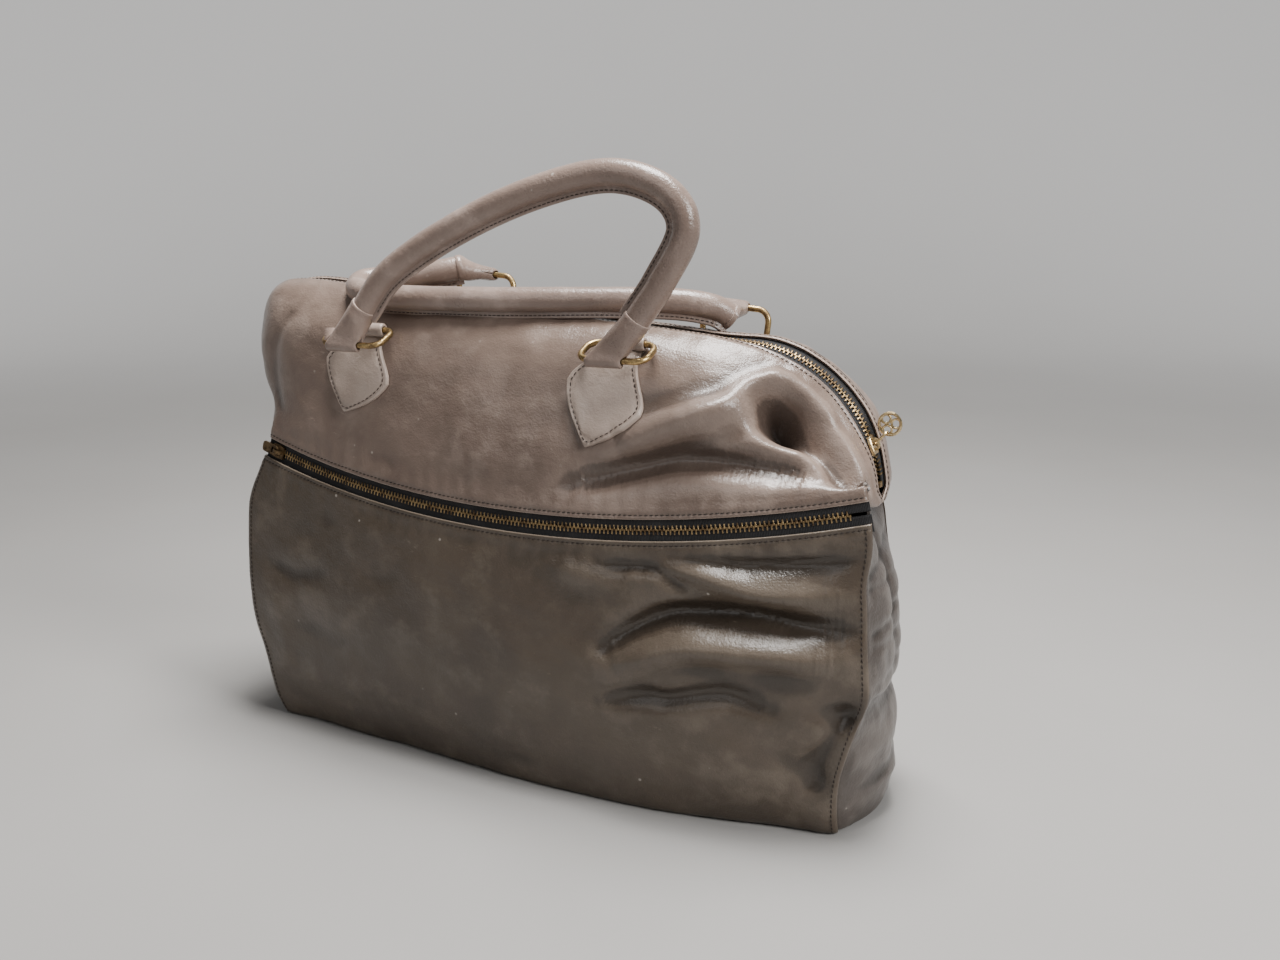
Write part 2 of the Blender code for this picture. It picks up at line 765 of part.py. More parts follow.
def make_front_pull(brass):
    """Flat pull whose eye straddles the bridge of the front slider."""
    frame = front_slider_frame()
    tangent, normal, width = frame[1:]
    pivot = bail_crown(frame)
    outline = oval_path(FRONT_PULL_LENGTH, FRONT_PULL_WIDTH, FRONT_PULL_WIDTH * 0.3, 4)
    eye = oval_path(FRONT_PULL_EYE, FRONT_PULL_WIDTH * 0.56, FRONT_PULL_BAR * 0.5, 2)
    middle = (FRONT_PULL_LENGTH - FRONT_PULL_BAR) / 2
    eye_middle = (FRONT_PULL_EYE + FRONT_PULL_BAR) / 2
    solids = []
    for label, path, shift, thickness in (("plate", outline, middle, FRONT_PULL_THICKNESS),
                                          ("eye", eye, eye_middle, FRONT_PULL_THICKNESS * 2)):
        loops = []
        for out in (-thickness / 2, thickness / 2):
            local = [(a + shift, b, out) for a, b in path]
            loops.append(placed(local, pivot, tangent, width, normal))
        verts, faces = loft(loops)
        name = "front_zip_pull" if label == "plate" else "eye"
        solids.append(add_object(name, verts, faces, brass))
    combine(solids[0], solids[1], "DIFFERENCE")
    set_origin(solids[0], pivot)
    return solids[0]


# ---------------------------------------------------------------- handle hardware

def above_panel(x, y):
    """Centre of a leaf's loop over a spot of the front upper panel."""
    u, v = panel_coordinates(lambda point: math.hypot(point[0] - x, point[1] - y))
    toward = vec(0.0, -1.0, 0.6)
    normal = surface_normal(upper_panel_point, u, v, toward)
    standoff = RING_WIRE / 2 + RING_CLEARANCE + LEAF_LOOP_THICKNESS + LEAF_CLEARANCE
    return upper_panel_point(u, v) + normal * standoff


class HandleSide:
    """Positions shared by the leaves, rings, tabs and tube of one handle."""

    def __init__(self, name, back, left_spot, right_spot, tilt):
        self.name = name
        self.back = back
        flip = mirrored if back else (lambda point: point)
        self.left_loop = flip(above_panel(*left_spot))
        self.right_loop = flip(above_panel(*right_spot))
        self.line = unit(self.right_loop - self.left_loop)
        angle = math.radians(tilt)
        self.reach = vec(0.0, math.cos(angle), math.sin(angle))
        self.reach = unit(self.reach - self.line * np.dot(self.reach, self.line))
        self.over = np.cross(self.line, self.reach)

    def loop_centre(self, side):
        return self.left_loop if side == "left" else self.right_loop

    def bar_centre(self, side):
        return self.loop_centre(side) + self.reach * RING_DEPTH


def make_ring(handle, side, brass):
    centre = handle.loop_centre(side) + handle.reach * RING_DEPTH / 2
    path = []
    for along, across in oval_path(RING_LENGTH, RING_DEPTH, RING_CORNER, 4):
        path.append(centre + handle.line * along + handle.reach * across)
    verts, faces = tube(path, RING_WIRE / 2, RING_SIDES, True, handle.over)
    ring = add_object(f"{handle.name}_ring_{side}", verts, faces, brass)
    set_origin(ring, handle.loop_centre(side))
    return ring


def leaf_half_width(s):
    """Half width of the leaf at a share s of its length, from the neck (0) to the tip (1)."""
    neck = LEAF_NECK_WIDTH / 2
    full = LEAF_WIDTH / 2
    if s < LEAF_WIDEST:
        return neck + (full - neck) * smooth_step(s / LEAF_WIDEST)
    t = (s - LEAF_WIDEST) / (1.0 - LEAF_WIDEST)
    return full * max(1.0 - 0.35 * t - 0.65 * t ** 2.0, 0.0) + LEAF_EDGE


def foot_on_panel(target):
    """Panel coordinates (u, v) of the point of the front upper panel nearest to a target."""
    return panel_coordinates(lambda point: np.linalg.norm(point - target))


def panel_coordinates(distance):
    """Panel coordinates (u, v) where a distance measured from the upper panel is least."""
    u = 0.5
    v = 0.7
    step = 0.1
    best = distance(upper_panel_point(u, v))
    while step > 1e-5:
        moved = False
        for du, dv in ((step, 0), (-step, 0), (0, step), (0, -step)):
            nu = min(max(u + du, 0.0), 1.0)
            nv = min(max(v + dv, 0.0), 1.0)
            gap = distance(upper_panel_point(nu, nv))
            if gap < best - 1e-9:
                u, v, best, moved = nu, nv, gap, True
        if not moved:
            step /= 2
    return u, v


def down_the_panel(x, y, distance):
    """Panel coordinates after walking down the surface from a spot, keeping to one X."""
    u, v = panel_coordinates(lambda point: math.hypot(point[0] - x, point[1] - y))
    steps = 10
    for _ in range(steps):
        above = upper_panel_point(u, min(v + 0.004, 1.0))
        below = upper_panel_point(u, max(v - 0.004, 0.0))
        rate = math.hypot(above[1] - below[1], above[2] - below[2]) / 0.008
        v = min(max(v - distance / steps / rate, 0.004), 0.996)
        u = panel_column_at(x, v, u)
    return u, v


def panel_column_at(x, v, guess):
    """Panel coordinate u where a row of the upper panel reaches a given X."""
    u = guess
    step = 0.004
    for _ in range(3):
        slope = upper_panel_point(u + step, v)[0] - upper_panel_point(u - step, v)[0]
        u += (x - upper_panel_point(u, v)[0]) * 2 * step / slope
    return u


def make_leaf(handle, side, lean, loop_shift, shader):
    """Spade-shaped patch on the upper panel whose neck rolls round the ring's rear bar."""
    flip = mirrored if handle.back else (lambda point: np.array(point, dtype=float))
    line = handle.line
    loop = flip(handle.loop_centre(side) + line * loop_shift)
    toward = vec(0.0, -1.0, 0.6)
    u0, v0 = foot_on_panel(loop)
    foot = upper_panel_point(u0, v0)
    out = surface_normal(upper_panel_point, u0, v0, toward)
    out = unit(out - line * np.dot(out, line))
    rearward = np.cross(line, out)
    if rearward[1] < 0:
        rearward = -rearward
    r_in = RING_WIRE / 2 + RING_CLEARANCE
    r_out = r_in + LEAF_LOOP_THICKNESS
    stretch = float(np.dot(loop - foot, out)) - r_out
    outer = []
    inner = []
    columns = LEAF_COLUMNS
    neck = LEAF_NECK_WIDTH / 2
    for k in range(LOOP_STEPS + 1):
        angle = math.radians(238.0 - 328.0 * k / LOOP_STEPS)
        spoke = rearward * math.cos(angle) + out * math.sin(angle)
        outer.append([loop + spoke * r_out + line * neck * t for t in spread(-1, 1, columns)])
        inner.append([loop + spoke * r_in + line * neck * t for t in spread(-1, 1, columns)])
    rows = LEAF_ROWS
    tilt = math.radians(lean)
    start = LEAF_START
    for k in range(rows + 1):
        run = start + (LEAF_LENGTH - start) * k / rows
        share = (run - start) / (LEAF_LENGTH - start)
        half = leaf_half_width(share)
        low_row = []
        high_row = []
        fade = smooth_step(1.0 - (run - start) / LEAF_BLEND)
        for t in spread(-1, 1, columns):
            side_move = half * t
            sideways = side_move * math.cos(tilt) + run * math.sin(tilt)
            down = run * math.cos(tilt) - side_move * math.sin(tilt)
            x = loop[0] + sideways
            y = loop[1] + sideways * line[1] / line[0]
            u, v = down_the_panel(x, y, down)
            base = upper_panel_point(u, v)
            normal = surface_normal(upper_panel_point, u, v, toward)
            lift = LEAF_CLEARANCE + max(stretch, 0.0) * fade
            thick = LEAF_LOOP_THICKNESS + (LEAF_THICKNESS - LEAF_LOOP_THICKNESS) * (1 - fade)
            low_row.append(base + normal * lift)
            high_row.append(base + normal * (lift + thick))
        outer.append(low_row)
        inner.append(high_row)
    outer = [[flip(point) for point in row] for row in outer]
    inner = [[flip(point) for point in row] for row in inner]
    verts, faces = sheet_solid(outer, inner)
    return add_object(f"{handle.name}_leaf_{side}", verts, faces, shader)


def tube_frames(path, inner_side):
    """Inward and sideways directions along a handle's centre line."""
    frames = []
    count = len(path)
    for k in range(count):
        before = path[max(k - 1, 0)]
        after = path[min(k + 1, count - 1)]
        tangent = unit(after - before)
        inward = inner_side(path[k], k / (count - 1))
        inward = unit(inward - tangent * np.dot(inward, tangent))
        frames.append((inward, np.cross(tangent, inward)))
    return frames


def spline(points, samples):
    """Smooth curve through hand-set points, read at equal steps."""
    padded = [2 * points[0] - points[1]] + list(points) + [2 * points[-1] - points[-2]]
    dense = []
    for k in range(1, len(padded) - 2):
        p0, p1, p2, p3 = padded[k - 1:k + 3]
        for t in spread(0.0, 1.0, 16)[:-1]:
            dense.append(0.5 * (2 * p1 + (p2 - p0) * t + (2 * p0 - 5 * p1 + 4 * p2 - p3) * t ** 2
                                + (3 * p1 - p0 - 3 * p2 + p3) * t ** 3))
    dense.append(padded[-2])
    lengths = [0.0]
    for a, b in zip(dense, dense[1:]):
        lengths.append(lengths[-1] + float(np.linalg.norm(b - a)))
    result = []
    for target in spread(0.0, lengths[-1], samples):
        k = int(np.searchsorted(lengths, target))
        k = min(max(k, 1), len(dense) - 1)
        share = (target - lengths[k - 1]) / (lengths[k] - lengths[k - 1])
        result.append(dense[k - 1] + (dense[k] - dense[k - 1]) * share)
    return result


def cover_profile(radius):
    """Outline of the rolled cover: round, with the sewn flange on its inner side."""
    half = HANDLE_FLANGE_WIDTH / 2
    opening = math.asin(half / radius)
    outline = []
    for k in range(HANDLE_SIDES + 1):
        angle = opening + (2 * math.pi - 2 * opening) * k / HANDLE_SIDES
        outline.append((radius * math.cos(angle), radius * math.sin(angle)))
    outline.append((radius + HANDLE_FLANGE, -half * 0.8))
    outline.append((radius + HANDLE_FLANGE, half * 0.8))
    return outline


def make_tube(handle, path, inner_side, leather, core_material):
    """Rolled leather cover with its flange, over a round core."""
    frames = tube_frames(path, inner_side)
    radius = HANDLE_DIAMETER / 2
    bore = radius - HANDLE_SKIN
    core_radius = bore - CORE_GAP
    profile = cover_profile(radius)
    outer = []
    inner = []
    core = []
    for point, (inward, across) in zip(path, frames):
        outer.append([point + inward * a + across * b for a, b in profile])
        hollow = []
        solid = []
        for a, b in profile:
            angle = math.atan2(b, a)
            spoke = inward * math.cos(angle) + across * math.sin(angle)
            hollow.append(point + spoke * bore)
            solid.append(point + spoke * core_radius)
        inner.append(hollow)
        core.append(solid)
    verts, faces = loft(outer + list(reversed(inner)), closed=True)
    cover = add_object(f"{handle.name}_handle_cover", verts, faces, leather)
    verts, faces = loft([[p for k, p in enumerate(ring) if k <= HANDLE_SIDES] for ring in core])
    filling = add_object(f"{handle.name}_handle_core", verts, faces, core_material)
    for piece in (cover, filling):
        set_origin(piece, handle.bar_centre("left"))


def make_tab(handle, side, end_point, end_tangent, leather):
    """Folded end tab: a loop round the ring's bar that gathers into the tube's end."""
    bar = handle.bar_centre(side) + handle.line * TAB_SHIFT
    line = handle.line
    rise = end_point - bar
    up = unit(rise - line * np.dot(rise, line))
    face = np.cross(line, up)
    radius = HANDLE_DIAMETER / 2
    sides = TAB_SIDES
    loops = []
    levels = ((-0.0045, 0.96, 0.28), (-0.0039, 0.985, 0.62), (-0.0022, 1.0, 0.88), (0.0, 1.0, 1.0))
    for drop, wide, thick in levels:
        loop = []
        for k in range(sides):
            angle = 2 * math.pi * k / sides
            c = math.cos(angle)
            s = math.sin(angle)
            a = TAB_WIDTH / 2 * wide * math.copysign(abs(c) ** 0.5, c)
            b = TAB_THICKNESS / 2 * thick * math.copysign(abs(s) ** 0.62, s)
            loop.append(bar + up * drop + line * a + face * b)
        loops.append(loop)
    normal = unit(end_tangent)
    across = unit(line - normal * np.dot(line, normal))
    front = np.cross(across, normal)
    if np.dot(front, face) < 0:
        front = -front
    stop = end_point - normal * FIT_GAP
    for share in (0.22, 0.45, 0.70, 1.0):
        ease = smooth_step(share)
        loop = []
        for k in range(sides):
            angle = 2 * math.pi * k / sides
            c = math.cos(angle)
            s = math.sin(angle)
            flat = (bar + line * TAB_WIDTH / 2 * math.copysign(abs(c) ** 0.5, c)
                    + face * TAB_THICKNESS / 2 * math.copysign(abs(s) ** 0.62, s))
            flat = flat + (stop - bar) * share
            round_end = stop + across * radius * c + front * radius * s - (stop - bar) * (1 - share)
            loop.append(flat * (1 - ease) + round_end * ease)
        loops.append(loop)
    verts, faces = loft(loops)
    tab = add_object(f"{handle.name}_tab_{side}", verts, faces, leather)
    bore_path = [bar - line * TAB_WIDTH * 0.7, bar, bar + line * TAB_WIDTH * 0.7]
    verts, faces = tube(bore_path, TAB_BORE / 2, 16, False, up)
    combine(tab, add_object("bore", verts, faces, leather), "DIFFERENCE")
    tab.data.shade_smooth()
    tab.data.set_sharp_from_angle(angle=math.radians(SHARP_ANGLE))
    set_origin(tab, handle.bar_centre("left"))
    return tab


def front_handle_path():
    """Centre line of the standing front handle, leaning over to the right.
    Each point gives X, Y and its height over the ends of the front zip."""
    points = [(-0.1065, -0.0570, 0.0965), (-0.0850, -0.0563, 0.1210), (-0.0400, -0.0540, 0.1475),
              (0.0120, -0.0515, 0.1685), (0.0590, -0.0490, 0.1782), (0.0925, -0.0475, 0.1690),
              (0.1045, -0.0470, 0.1480), (0.0905, -0.0475, 0.1190), (0.0745, -0.0480, 0.0960)]
    return spline([vec(x, y, FRONT_ZIP_END_Z + h) for x, y, h in points], HANDLE_SEGMENTS)


def ridge_height(x):
    """Height of the ridge's straight stretch, carried on past its ends."""
    top = ridge_tangent_angle()
    start = arc_point(RIGHT_ARC_X, RIGHT_ARC_Z, RIGHT_ARC_RADIUS, top)
    return start[2] + (start[0] - x) / math.tan(top)


def back_handle_path():
    """Centre line of the back handle, lying forward over the ridge with its bend to the left.
    Each point gives X, Y and the height of the tube's underside over the ridge."""
    points = [(-0.0850, 0.0215, 0.0077), (-0.0950, 0.0140, 0.0112), (-0.1120, 0.0090, 0.0122),
              (-0.1320, 0.0020, 0.0092), (-0.1450, -0.0090, 0.0047), (-0.1350, -0.0205, 0.0022),
              (-0.1100, -0.0225, 0.0017), (-0.0600, -0.0205, 0.0017), (0.0000, -0.0145, 0.0032),
              (0.0500, -0.0060, 0.0052), (0.0900, 0.0020, 0.0067), (0.1060, 0.0100, 0.0057),
              (0.1065, 0.0190, 0.0022)]
    radius = HANDLE_DIAMETER / 2
    return spline([vec(x, y, ridge_height(x) + h + radius) for x, y, h in points],
                  HANDLE_SEGMENTS)


def back_flange_side(point, share):
    """The back handle's flange hangs under the tube and turns a little forward on its long run."""
    forward = 0.6 * smooth_step((share - 0.45) / 0.3)
    return vec(0.0, 0.3 - forward, -1.0)


def make_handle(handle, path, inner_side, leaf_lean, materials):
    leather, leaf, brass, core = materials
    loop_shift = LOOP_SHIFT
    for side in ("left", "right"):
        make_ring(handle, side, brass)
        make_leaf(handle, side, leaf_lean, loop_shift, leaf)
    make_tube(handle, path, inner_side, leather, core)
    make_tab(handle, "left", path[0], path[1] - path[0], leather)
    make_tab(handle, "right", path[-1], path[-2] - path[-1], leather)


# ---------------------------------------------------------------- assembly

def clear_scene():
    for existing in list(bpy.data.objects):
        bpy.data.objects.remove(existing, do_unlink=True)


def build():
    clear_scene()
    leather = material("upper_leather", (0.150, 0.118, 0.098), 0.42, 0.0)
    dark_leather = material("lower_leather", (0.105, 0.088, 0.070), 0.45, 0.0)
    side_leather = material("side_leather", (0.095, 0.082, 0.075), 0.50, 0.0)
    leaf_leather = material("leaf_leather", (0.165, 0.140, 0.125), 0.45, 0.0)
    handle_leather = material("handle_leather", (0.155, 0.118, 0.100), 0.40, 0.0)
    lining_cloth = material("lining_cloth", (0.035, 0.032, 0.032), 0.9, 0.0)
    tape_cloth = material("tape_cloth", (0.025, 0.024, 0.025), 0.85, 0.0)
    board = material("base_board", (0.20, 0.17, 0.13), 0.8, 0.0)
    cord = material("handle_core", (0.30, 0.27, 0.22), 0.9, 0.0)
    old_brass = material("old_brass", (0.34, 0.24, 0.12), 0.40, 1.0)
    bright_brass = material("bright_brass", (0.58, 0.44, 0.22), 0.30, 1.0)

    forward = vec(0.0, -1.0, 0.5)
    backward = vec(0.0, 1.0, 0.5)
    make_panel("front_upper_panel", upper_panel_point, upper_rows(), forward, leather)
    make_panel("front_lower_panel", lower_panel_point, lower_rows(), forward, dark_leather)
    make_panel("back_upper_panel", back_upper_point, upper_rows(), backward, leather)
    make_panel("back_lower_panel", back_lower_point, lower_rows(), backward, dark_leather)
    make_gusset("left_gusset", -1, side_leather)
    make_gusset("right_gusset", 1, side_leather)
    inset = LEATHER + 2 * SEAM_GAP
    make_flat("base_panel", base_outline(inset), 0.0, LEATHER, side_leather)
    board_bottom = LEATHER + FIT_GAP
    make_flat("base_stiffener", base_outline(inset + BOARD_MARGIN), board_bottom,
              board_bottom + BOARD_THICKNESS, board)
    make_lining(lining_cloth)

    make_zip("top_zip", ridge_section, ridge_stations()[1:-1], 1.0, ("front", "back"),
             tape_cloth, old_brass)
    make_zip("front_zip", front_section, front_zip_stations(), 1.0 / front_zip_circle()[1],
             ("lower", "upper"), tape_cloth, old_brass)
    make_slider("top_zip_slider", top_slider_frame(), bright_brass)
    make_slider("front_zip_slider", front_slider_frame(), old_brass)
    make_top_pull(bright_brass)
    make_front_pull(old_brass)

    materials = (handle_leather, leaf_leather, old_brass, cord)
    front = HandleSide("front", False, FRONT_LEFT_SPOT, FRONT_RIGHT_SPOT, FRONT_RING_TILT)
    path = front_handle_path()
    middle = sum(path) / len(path)
    make_handle(front, path, lambda point, share: middle - point, LEAF_LEAN, materials)
    back = HandleSide("back", True, BACK_LEFT_SPOT, BACK_RIGHT_SPOT, BACK_RING_TILT)
    path = back_handle_path()
    make_handle(back, path, back_flange_side, 0.0, materials)


build()
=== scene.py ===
"""A slouched leather duffel bag: sculpted panels, two brass zips, rolled handles on rings."""

import json
import math

import bmesh
import bpy
import numpy as np
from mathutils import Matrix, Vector, noise


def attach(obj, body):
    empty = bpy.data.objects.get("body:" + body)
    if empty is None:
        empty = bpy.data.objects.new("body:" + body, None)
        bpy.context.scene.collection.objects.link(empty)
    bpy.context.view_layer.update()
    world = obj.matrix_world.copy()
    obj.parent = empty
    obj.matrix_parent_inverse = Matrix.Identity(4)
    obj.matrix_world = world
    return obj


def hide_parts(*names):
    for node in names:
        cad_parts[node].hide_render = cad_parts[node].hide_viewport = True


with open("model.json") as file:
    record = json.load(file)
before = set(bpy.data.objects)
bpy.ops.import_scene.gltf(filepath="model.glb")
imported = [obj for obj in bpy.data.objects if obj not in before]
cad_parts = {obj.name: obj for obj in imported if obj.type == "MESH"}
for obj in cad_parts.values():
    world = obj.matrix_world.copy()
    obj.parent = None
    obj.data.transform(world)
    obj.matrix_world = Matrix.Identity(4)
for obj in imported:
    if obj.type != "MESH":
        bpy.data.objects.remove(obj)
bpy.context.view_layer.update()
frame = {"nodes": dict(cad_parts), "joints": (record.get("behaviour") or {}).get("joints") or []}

MM = 0.001
# Sizes shared with the frame, in metres
LEATHER = 0.0020
GUSSET_LEATHER = 0.0016
SEAM_TUCK = 0.0007
LINING_DROP = 0.0046
SEAM_GAP = 0.0004
BASE_LENGTH = 0.403
BASE_DEPTH_AT_ENDS = 0.086
BASE_BULGE = 0.020
BASE_BULGE_SKEW = 1.5
FRONT_ZIP_END = np.array([0.2075, -0.043, 0.194])
FRONT_ZIP_SHIFT = 0.0045
FRONT_ZIP_OUTWARD = 0.023
FRONT_ZIP_SAG = 0.0235
FRONT_ZIP_LEAN = 0.10
RIGHT_ARC = np.array([0.118, 0.189, 0.090])
LEFT_ARC = np.array([-0.168, 0.248, 0.055])
RIGHT_ZIP_END_ANGLE = math.radians(6.0)
LEFT_ZIP_END_ANGLE = math.radians(195.0)
NOSE_LENGTH = 0.010
ZIP_OPENING = 0.0124
CHAIN_DEPTH = 0.0027
HEM_WIDTH = 0.0070
HEM_SHARE = 0.10
UPPER_FULLNESS = 0.56
SHOULDER_FULLNESS = 0.50
SHOULDER_SLOPE = 0.36
LOWER_FULLNESS = 0.36
LOWER_BASE_FLARE = 0.30


def vec(x, y, z):
    return np.stack(np.broadcast_arrays(x, y, z), axis=-1).astype(float)


def unit(vector):
    return vector / np.maximum(np.linalg.norm(vector, axis=-1, keepdims=True), 1e-12)


def smooth(t):
    t = np.clip(t, 0.0, 1.0)
    return t * t * (3.0 - 2.0 * t)


def bump(distance, width):
    return np.exp(-(distance / width) ** 2)


def turn(vector, axis, angle):
    c = np.cos(angle)[..., None]
    s = np.sin(angle)[..., None]
    along = np.sum(axis * vector, axis=-1, keepdims=True)
    return vector * c + np.cross(axis, vector) * s + axis * along * (1.0 - c)


def ridge_tangent_angle():
    dx, dz, dr = RIGHT_ARC - LEFT_ARC
    return math.atan2(dz, dx) + math.asin(dr / math.hypot(dx, dz)) + math.pi / 2


RIDGE_TOP = ridge_tangent_angle()
LEFT_ARC_RUN = LEFT_ARC[2] * (LEFT_ZIP_END_ANGLE - RIDGE_TOP)
RIGHT_RUN = RIGHT_ARC[2] * (RIDGE_TOP - RIGHT_ZIP_END_ANGLE)
STRAIGHT_RUN = math.sqrt(math.hypot(RIGHT_ARC[0] - LEFT_ARC[0], RIGHT_ARC[1] - LEFT_ARC[1]) ** 2
                         - (RIGHT_ARC[2] - LEFT_ARC[2]) ** 2)
CORNER_POWER = 4.4
SPARE_RUN = 20 * MM
ZIP_ROLL = math.radians(34.0)
ZIP_ROLL_STEPS = ((-25, 60, 0.0, 1.0), (78, 38, 1.0, 0.3), (118, 22, 1.0, 0.0))


def ridge_path():
    """The ridge from left to right with a squared left corner: true lengths, points, tangents."""
    whole = LEFT_ARC_RUN + STRAIGHT_RUN + RIGHT_RUN
    raw = np.linspace(-SPARE_RUN, whole + SPARE_RUN, 5200)
    past = raw - LEFT_ARC_RUN - STRAIGHT_RUN
    angle = np.where(raw < LEFT_ARC_RUN, LEFT_ZIP_END_ANGLE - raw / LEFT_ARC[2], RIDGE_TOP)
    angle = np.where(past > 0.0, RIDGE_TOP - past / RIGHT_ARC[2], angle)
    share = np.clip((raw - LEFT_ARC_RUN) / STRAIGHT_RUN, 0.0, 1.0)[:, None]
    arc = LEFT_ARC + (RIGHT_ARC - LEFT_ARC) * share
    turned = np.clip((angle - RIDGE_TOP) / (math.pi - RIDGE_TOP), 0.0, 1.0) * math.pi / 2
    square = np.cos(turned) ** CORNER_POWER + np.sin(turned) ** CORNER_POWER
    square = square ** (-1 / CORNER_POWER)
    outward = vec(np.cos(angle), 0.0, np.sin(angle))
    points = vec(arc[:, 0], 0.0, arc[:, 1]) + outward * (arc[:, 2] * square)[:, None]
    steps = np.linalg.norm(np.diff(points, axis=0), axis=1)
    length = np.concatenate([[0.0], np.cumsum(steps)])
    length -= np.interp(0.0, raw, length)
    return length, points, unit(np.gradient(points, axis=0)), np.interp(LEFT_ARC_RUN, raw, length)


RIDGE_LENGTHS, RIDGE_POINTS, RIDGE_TANGENTS, LEFT_RUN = ridge_path()
TOP_ZIP_LENGTH = LEFT_RUN + STRAIGHT_RUN + RIGHT_RUN


def ridge_at(distance):
    """Point, tangent and outward normal of the top ridge, left to right."""
    point, tangent = (
        np.stack([np.interp(distance, RIDGE_LENGTHS, field[:, k]) for k in range(3)], -1)
        for field in (RIDGE_POINTS, RIDGE_TANGENTS))
    tangent = unit(tangent)
    return point, tangent, vec(-tangent[..., 2], 0.0, tangent[..., 0])


def ridge_frame(distance):
    """Point, outward normal and width of the top zip, which leans forward on the right arc."""
    point, _, outward = ridge_at(distance)
    past = np.asarray(distance, float) - LEFT_RUN - STRAIGHT_RUN
    roll = ZIP_ROLL
    for start, run, before, after in ZIP_ROLL_STEPS:
        roll = roll * (before + (after - before) * smooth((past - start * MM) / (run * MM)))
    c, s = np.cos(roll)[..., None], np.sin(roll)[..., None]
    back = np.array([0.0, 1.0, 0.0])
    return point, outward * c - back * s, back * c + outward * s


def ridge_half_opening(distance):
    past = np.maximum(-distance, distance - TOP_ZIP_LENGTH)
    closing = smooth(past / (NOSE_LENGTH * 0.8))
    return ZIP_OPENING / 2 * (1.0 - closing) + SEAM_GAP * closing


def front_zip_circle():
    chord = 2 * FRONT_ZIP_END[0]
    rise = math.hypot(FRONT_ZIP_OUTWARD, FRONT_ZIP_SAG)
    radius = (chord * chord / 4 + rise * rise) / (2 * rise)
    sag = np.array([0.0, -FRONT_ZIP_OUTWARD, -FRONT_ZIP_SAG]) / rise
    middle = np.array([FRONT_ZIP_SHIFT, FRONT_ZIP_END[1], FRONT_ZIP_END[2]]) + sag * rise
    axis = np.cross([1.0, 0.0, 0.0], sag)
    return middle - sag * radius, radius, axis, math.asin(FRONT_ZIP_END[0] / radius), sag


ZIP_CENTRE, ZIP_RADIUS, ZIP_AXIS, ZIP_HALF_ANGLE, ZIP_SAG = front_zip_circle()


def front_zip_at(u):
    """Point, tangent, outward normal and upward width of the front zip; u runs 0 to 1."""
    angle = (2.0 * np.asarray(u, float) - 1.0) * ZIP_HALF_ANGLE
    point = ZIP_CENTRE + turn(ZIP_SAG, ZIP_AXIS, -angle) * ZIP_RADIUS
    tangent = turn(np.array([1.0, 0.0, 0.0]), ZIP_AXIS, -angle)
    width = turn(unit(np.array([0.0, FRONT_ZIP_LEAN, 1.0])), ZIP_AXIS, -angle)
    width = unit(width - tangent * np.sum(width * tangent, axis=-1, keepdims=True))
    return point, tangent, np.cross(tangent, width), width


def bezier(a, b, c, d, t):
    s = 1.0 - t
    return a * s ** 3 + b * 3 * s * s * t + c * 3 * s * t * t + d * t ** 3


def base_edge(u):
    bulge = BASE_BULGE * np.sin(np.pi * np.clip(u, 0.0, 1.0) ** BASE_BULGE_SKEW)
    return vec(BASE_LENGTH * (u - 0.5), -(BASE_DEPTH_AT_ENDS / 2 + bulge), SEAM_GAP)


FRONT_RIGHT_EDGE = ((0, 35, 67, 86, 121, 155, 170, 193), (0, -2, 1, 5, -4, -8, -3, 0))
BACK_RIGHT_EDGE = ((0, 40, 80, 120, 160, 200, 225, 250), (0, 0, -4, -11, -17, -17, -10, 0))
LEFT_EDGE = ((0, 12, 48, 77, 122, 158, 182, 194), (0, -6, -6, -10, -9, -10, -3, 0))


def side_shift(u, z, way):
    """How far the side edges wander in and out, fading away from the sides; way is -1 behind."""
    heights, shifts = FRONT_RIGHT_EDGE if way > 0 else BACK_RIGHT_EDGE
    right = smooth_steps(z / MM, heights, shifts) * np.clip(2.0 * u - 1.0, 0.0, 1.0) ** 6
    left = smooth_steps(z / MM, *LEFT_EDGE) * np.clip(1.0 - 2.0 * u, 0.0, 1.0) ** 6
    return (right + left) * MM


def smooth_steps(at, places, values):
    """Linear steps between the values, rounded off at the corners."""
    return sum(np.interp(at + shift, places, values) for shift in (-8, -4, 0, 4, 8)) / 5


